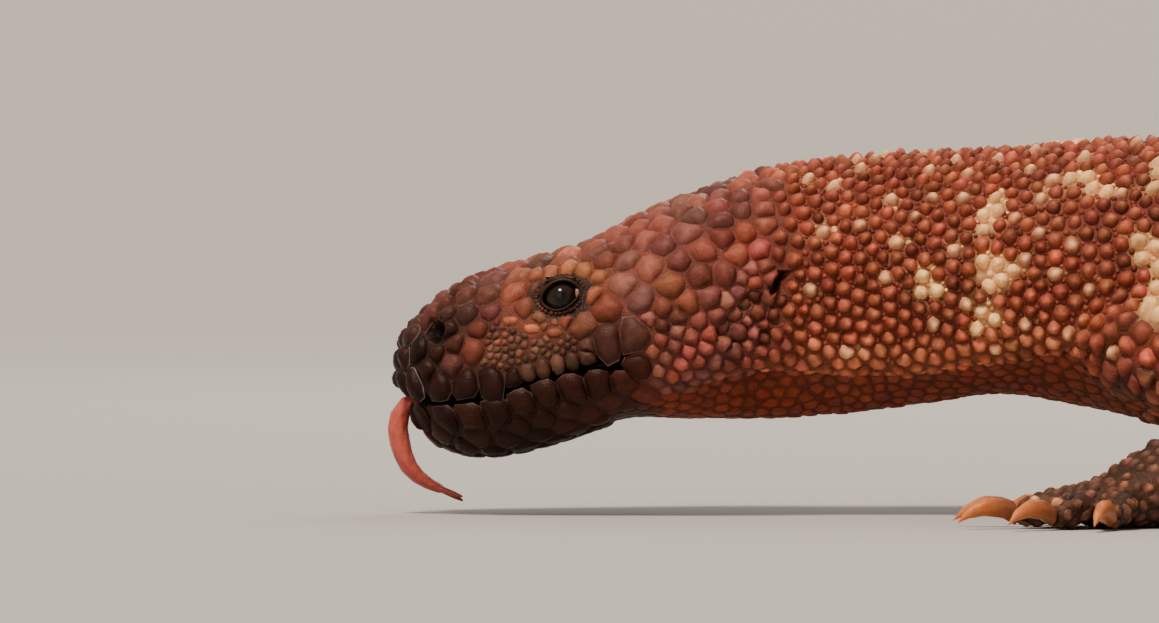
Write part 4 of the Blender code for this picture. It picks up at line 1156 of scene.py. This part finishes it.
for i, p in enumerate(eye_points):
    centre = eye_centres[1 if p[1] > midline else -1]
    off = (Vector(p) - centre) / eye_radius
    pupil = smooth_step(0.36, 0.28, math.hypot(off.x + 0.05, off.z))
    iris = smooth_step(0.74, 0.62, math.hypot(off.x + 0.05, off.z))
    tone = Vector((0.009, 0.005, 0.004)).lerp(Vector((0.034, 0.014, 0.009)), float(iris))
    # A grey-blue painted reflection lies on the iris's lower edge
    lower_reflection = iris * smooth_step(-0.1, -0.6, off.z - 0.3 * off.x)
    tone = tone.lerp(Vector((0.040, 0.036, 0.040)), float(lower_reflection))
    eye_tones[i] = tone.lerp(Vector((0.002, 0.0015, 0.0012)), float(pupil))
dress(eyeballs, eye_tones, eye_look)
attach(eyeballs, "root")
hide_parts("eye_left", "eye_right")

corners = bmesh.new()
for side, centre in eye_centres.items():
    spot = bmesh.ops.create_icosphere(corners, subdivisions=3, radius=0.0010)["verts"]
    bmesh.ops.scale(corners, vec=(0.9, 0.7, 1.35), verts=spot)
    bmesh.ops.translate(corners, verts=spot, vec=centre + Vector((0.0027, side * 0.0017, 0.0004)))
pink = plain_material("eye corner flesh", (0.260, 0.085, 0.070), 0.30)
place = add_node(pink, "TexCoord", {}).outputs["Object"]
uneven = add_node(pink, "TexNoise", {"Vector": place}, Scale=1800).outputs["Fac"]
ramp = add_node(pink, "ValToRGB", {"Fac": uneven})
ramp.color_ramp.elements[0].color = (0.100, 0.020, 0.016, 1)
ramp.color_ramp.elements[1].color = (0.330, 0.105, 0.085, 1)
pink.node_tree.links.new(ramp.outputs["Color"], pink.node_tree.nodes["Principled BSDF"].inputs["Base Color"])
eye_corners = new_piece("eye_corners", corners)
eye_corners.data.materials.append(pink)
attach(eye_corners, "root")

# The tongue.
# It is soft wet muscle, thick at its root, and hangs out over the lower lip with its two thin tips together.
# It is pinkish red, and darker towards the tips.
tongue_mesh = bmesh.new()
tongue_mesh.from_mesh(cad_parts["tongue"].data)
bmesh.ops.remove_doubles(tongue_mesh, verts=tongue_mesh.verts, dist=0.000001)
tongue = new_piece("forked_tongue", tongue_mesh)
melted(tongue, 0.00022, 10)
tongue.data.shade_smooth()
tongue_points = vectors_of(tongue.data.vertices, "co")
tongue_tip = smooth_step(0.012, 0.001, tongue_points[:, 2])
tongue_tones = faded((0.430, 0.082, 0.057), (0.230, 0.040, 0.032), tongue_tip)
dress(tongue, tongue_tones, scale_material("tongue", 0.30, 0.14, 0.3, depth=0.15))
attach(tongue, "root")
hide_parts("tongue")

# The claws.
# Five strong curved claws of amber horn tip each foot. They are dark and worn at the root, smooth and almost
# clear at the point.
feet = ("fore_left", "fore_right", "hind_left", "hind_right")
claw_nodes = [f"claw_{foot}_{i}" for foot in feet for i in range(1, 6)]
horn = bmesh.new()
for node in claw_nodes:
    horn.from_mesh(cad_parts[node].data)
bmesh.ops.remove_doubles(horn, verts=horn.verts, dist=0.000001)
claws = new_piece("claws", horn)
melted(claws, 0.0003, 6)
claws.data.shade_smooth()
claw_points = vectors_of(claws.data.vertices, "co")
claw_middles = np.array([(low + high) / 2 for low, high in map(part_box, claw_nodes)])
own_claw = np.linalg.norm(claw_points[:, None] - claw_middles[None], axis=2).argmin(1)
behind = claw_points[:, 0] - claw_middles[own_claw, 0]
claw_tones = faded((0.520, 0.150, 0.042), (0.150, 0.046, 0.018), smooth_step(-0.003, 0.005, behind))
dress(claws, claw_tones, scale_material("claw horn", 0.28, 0.16, 0.1, depth=0.2))
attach(claws, "root")
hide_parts(*claw_nodes)
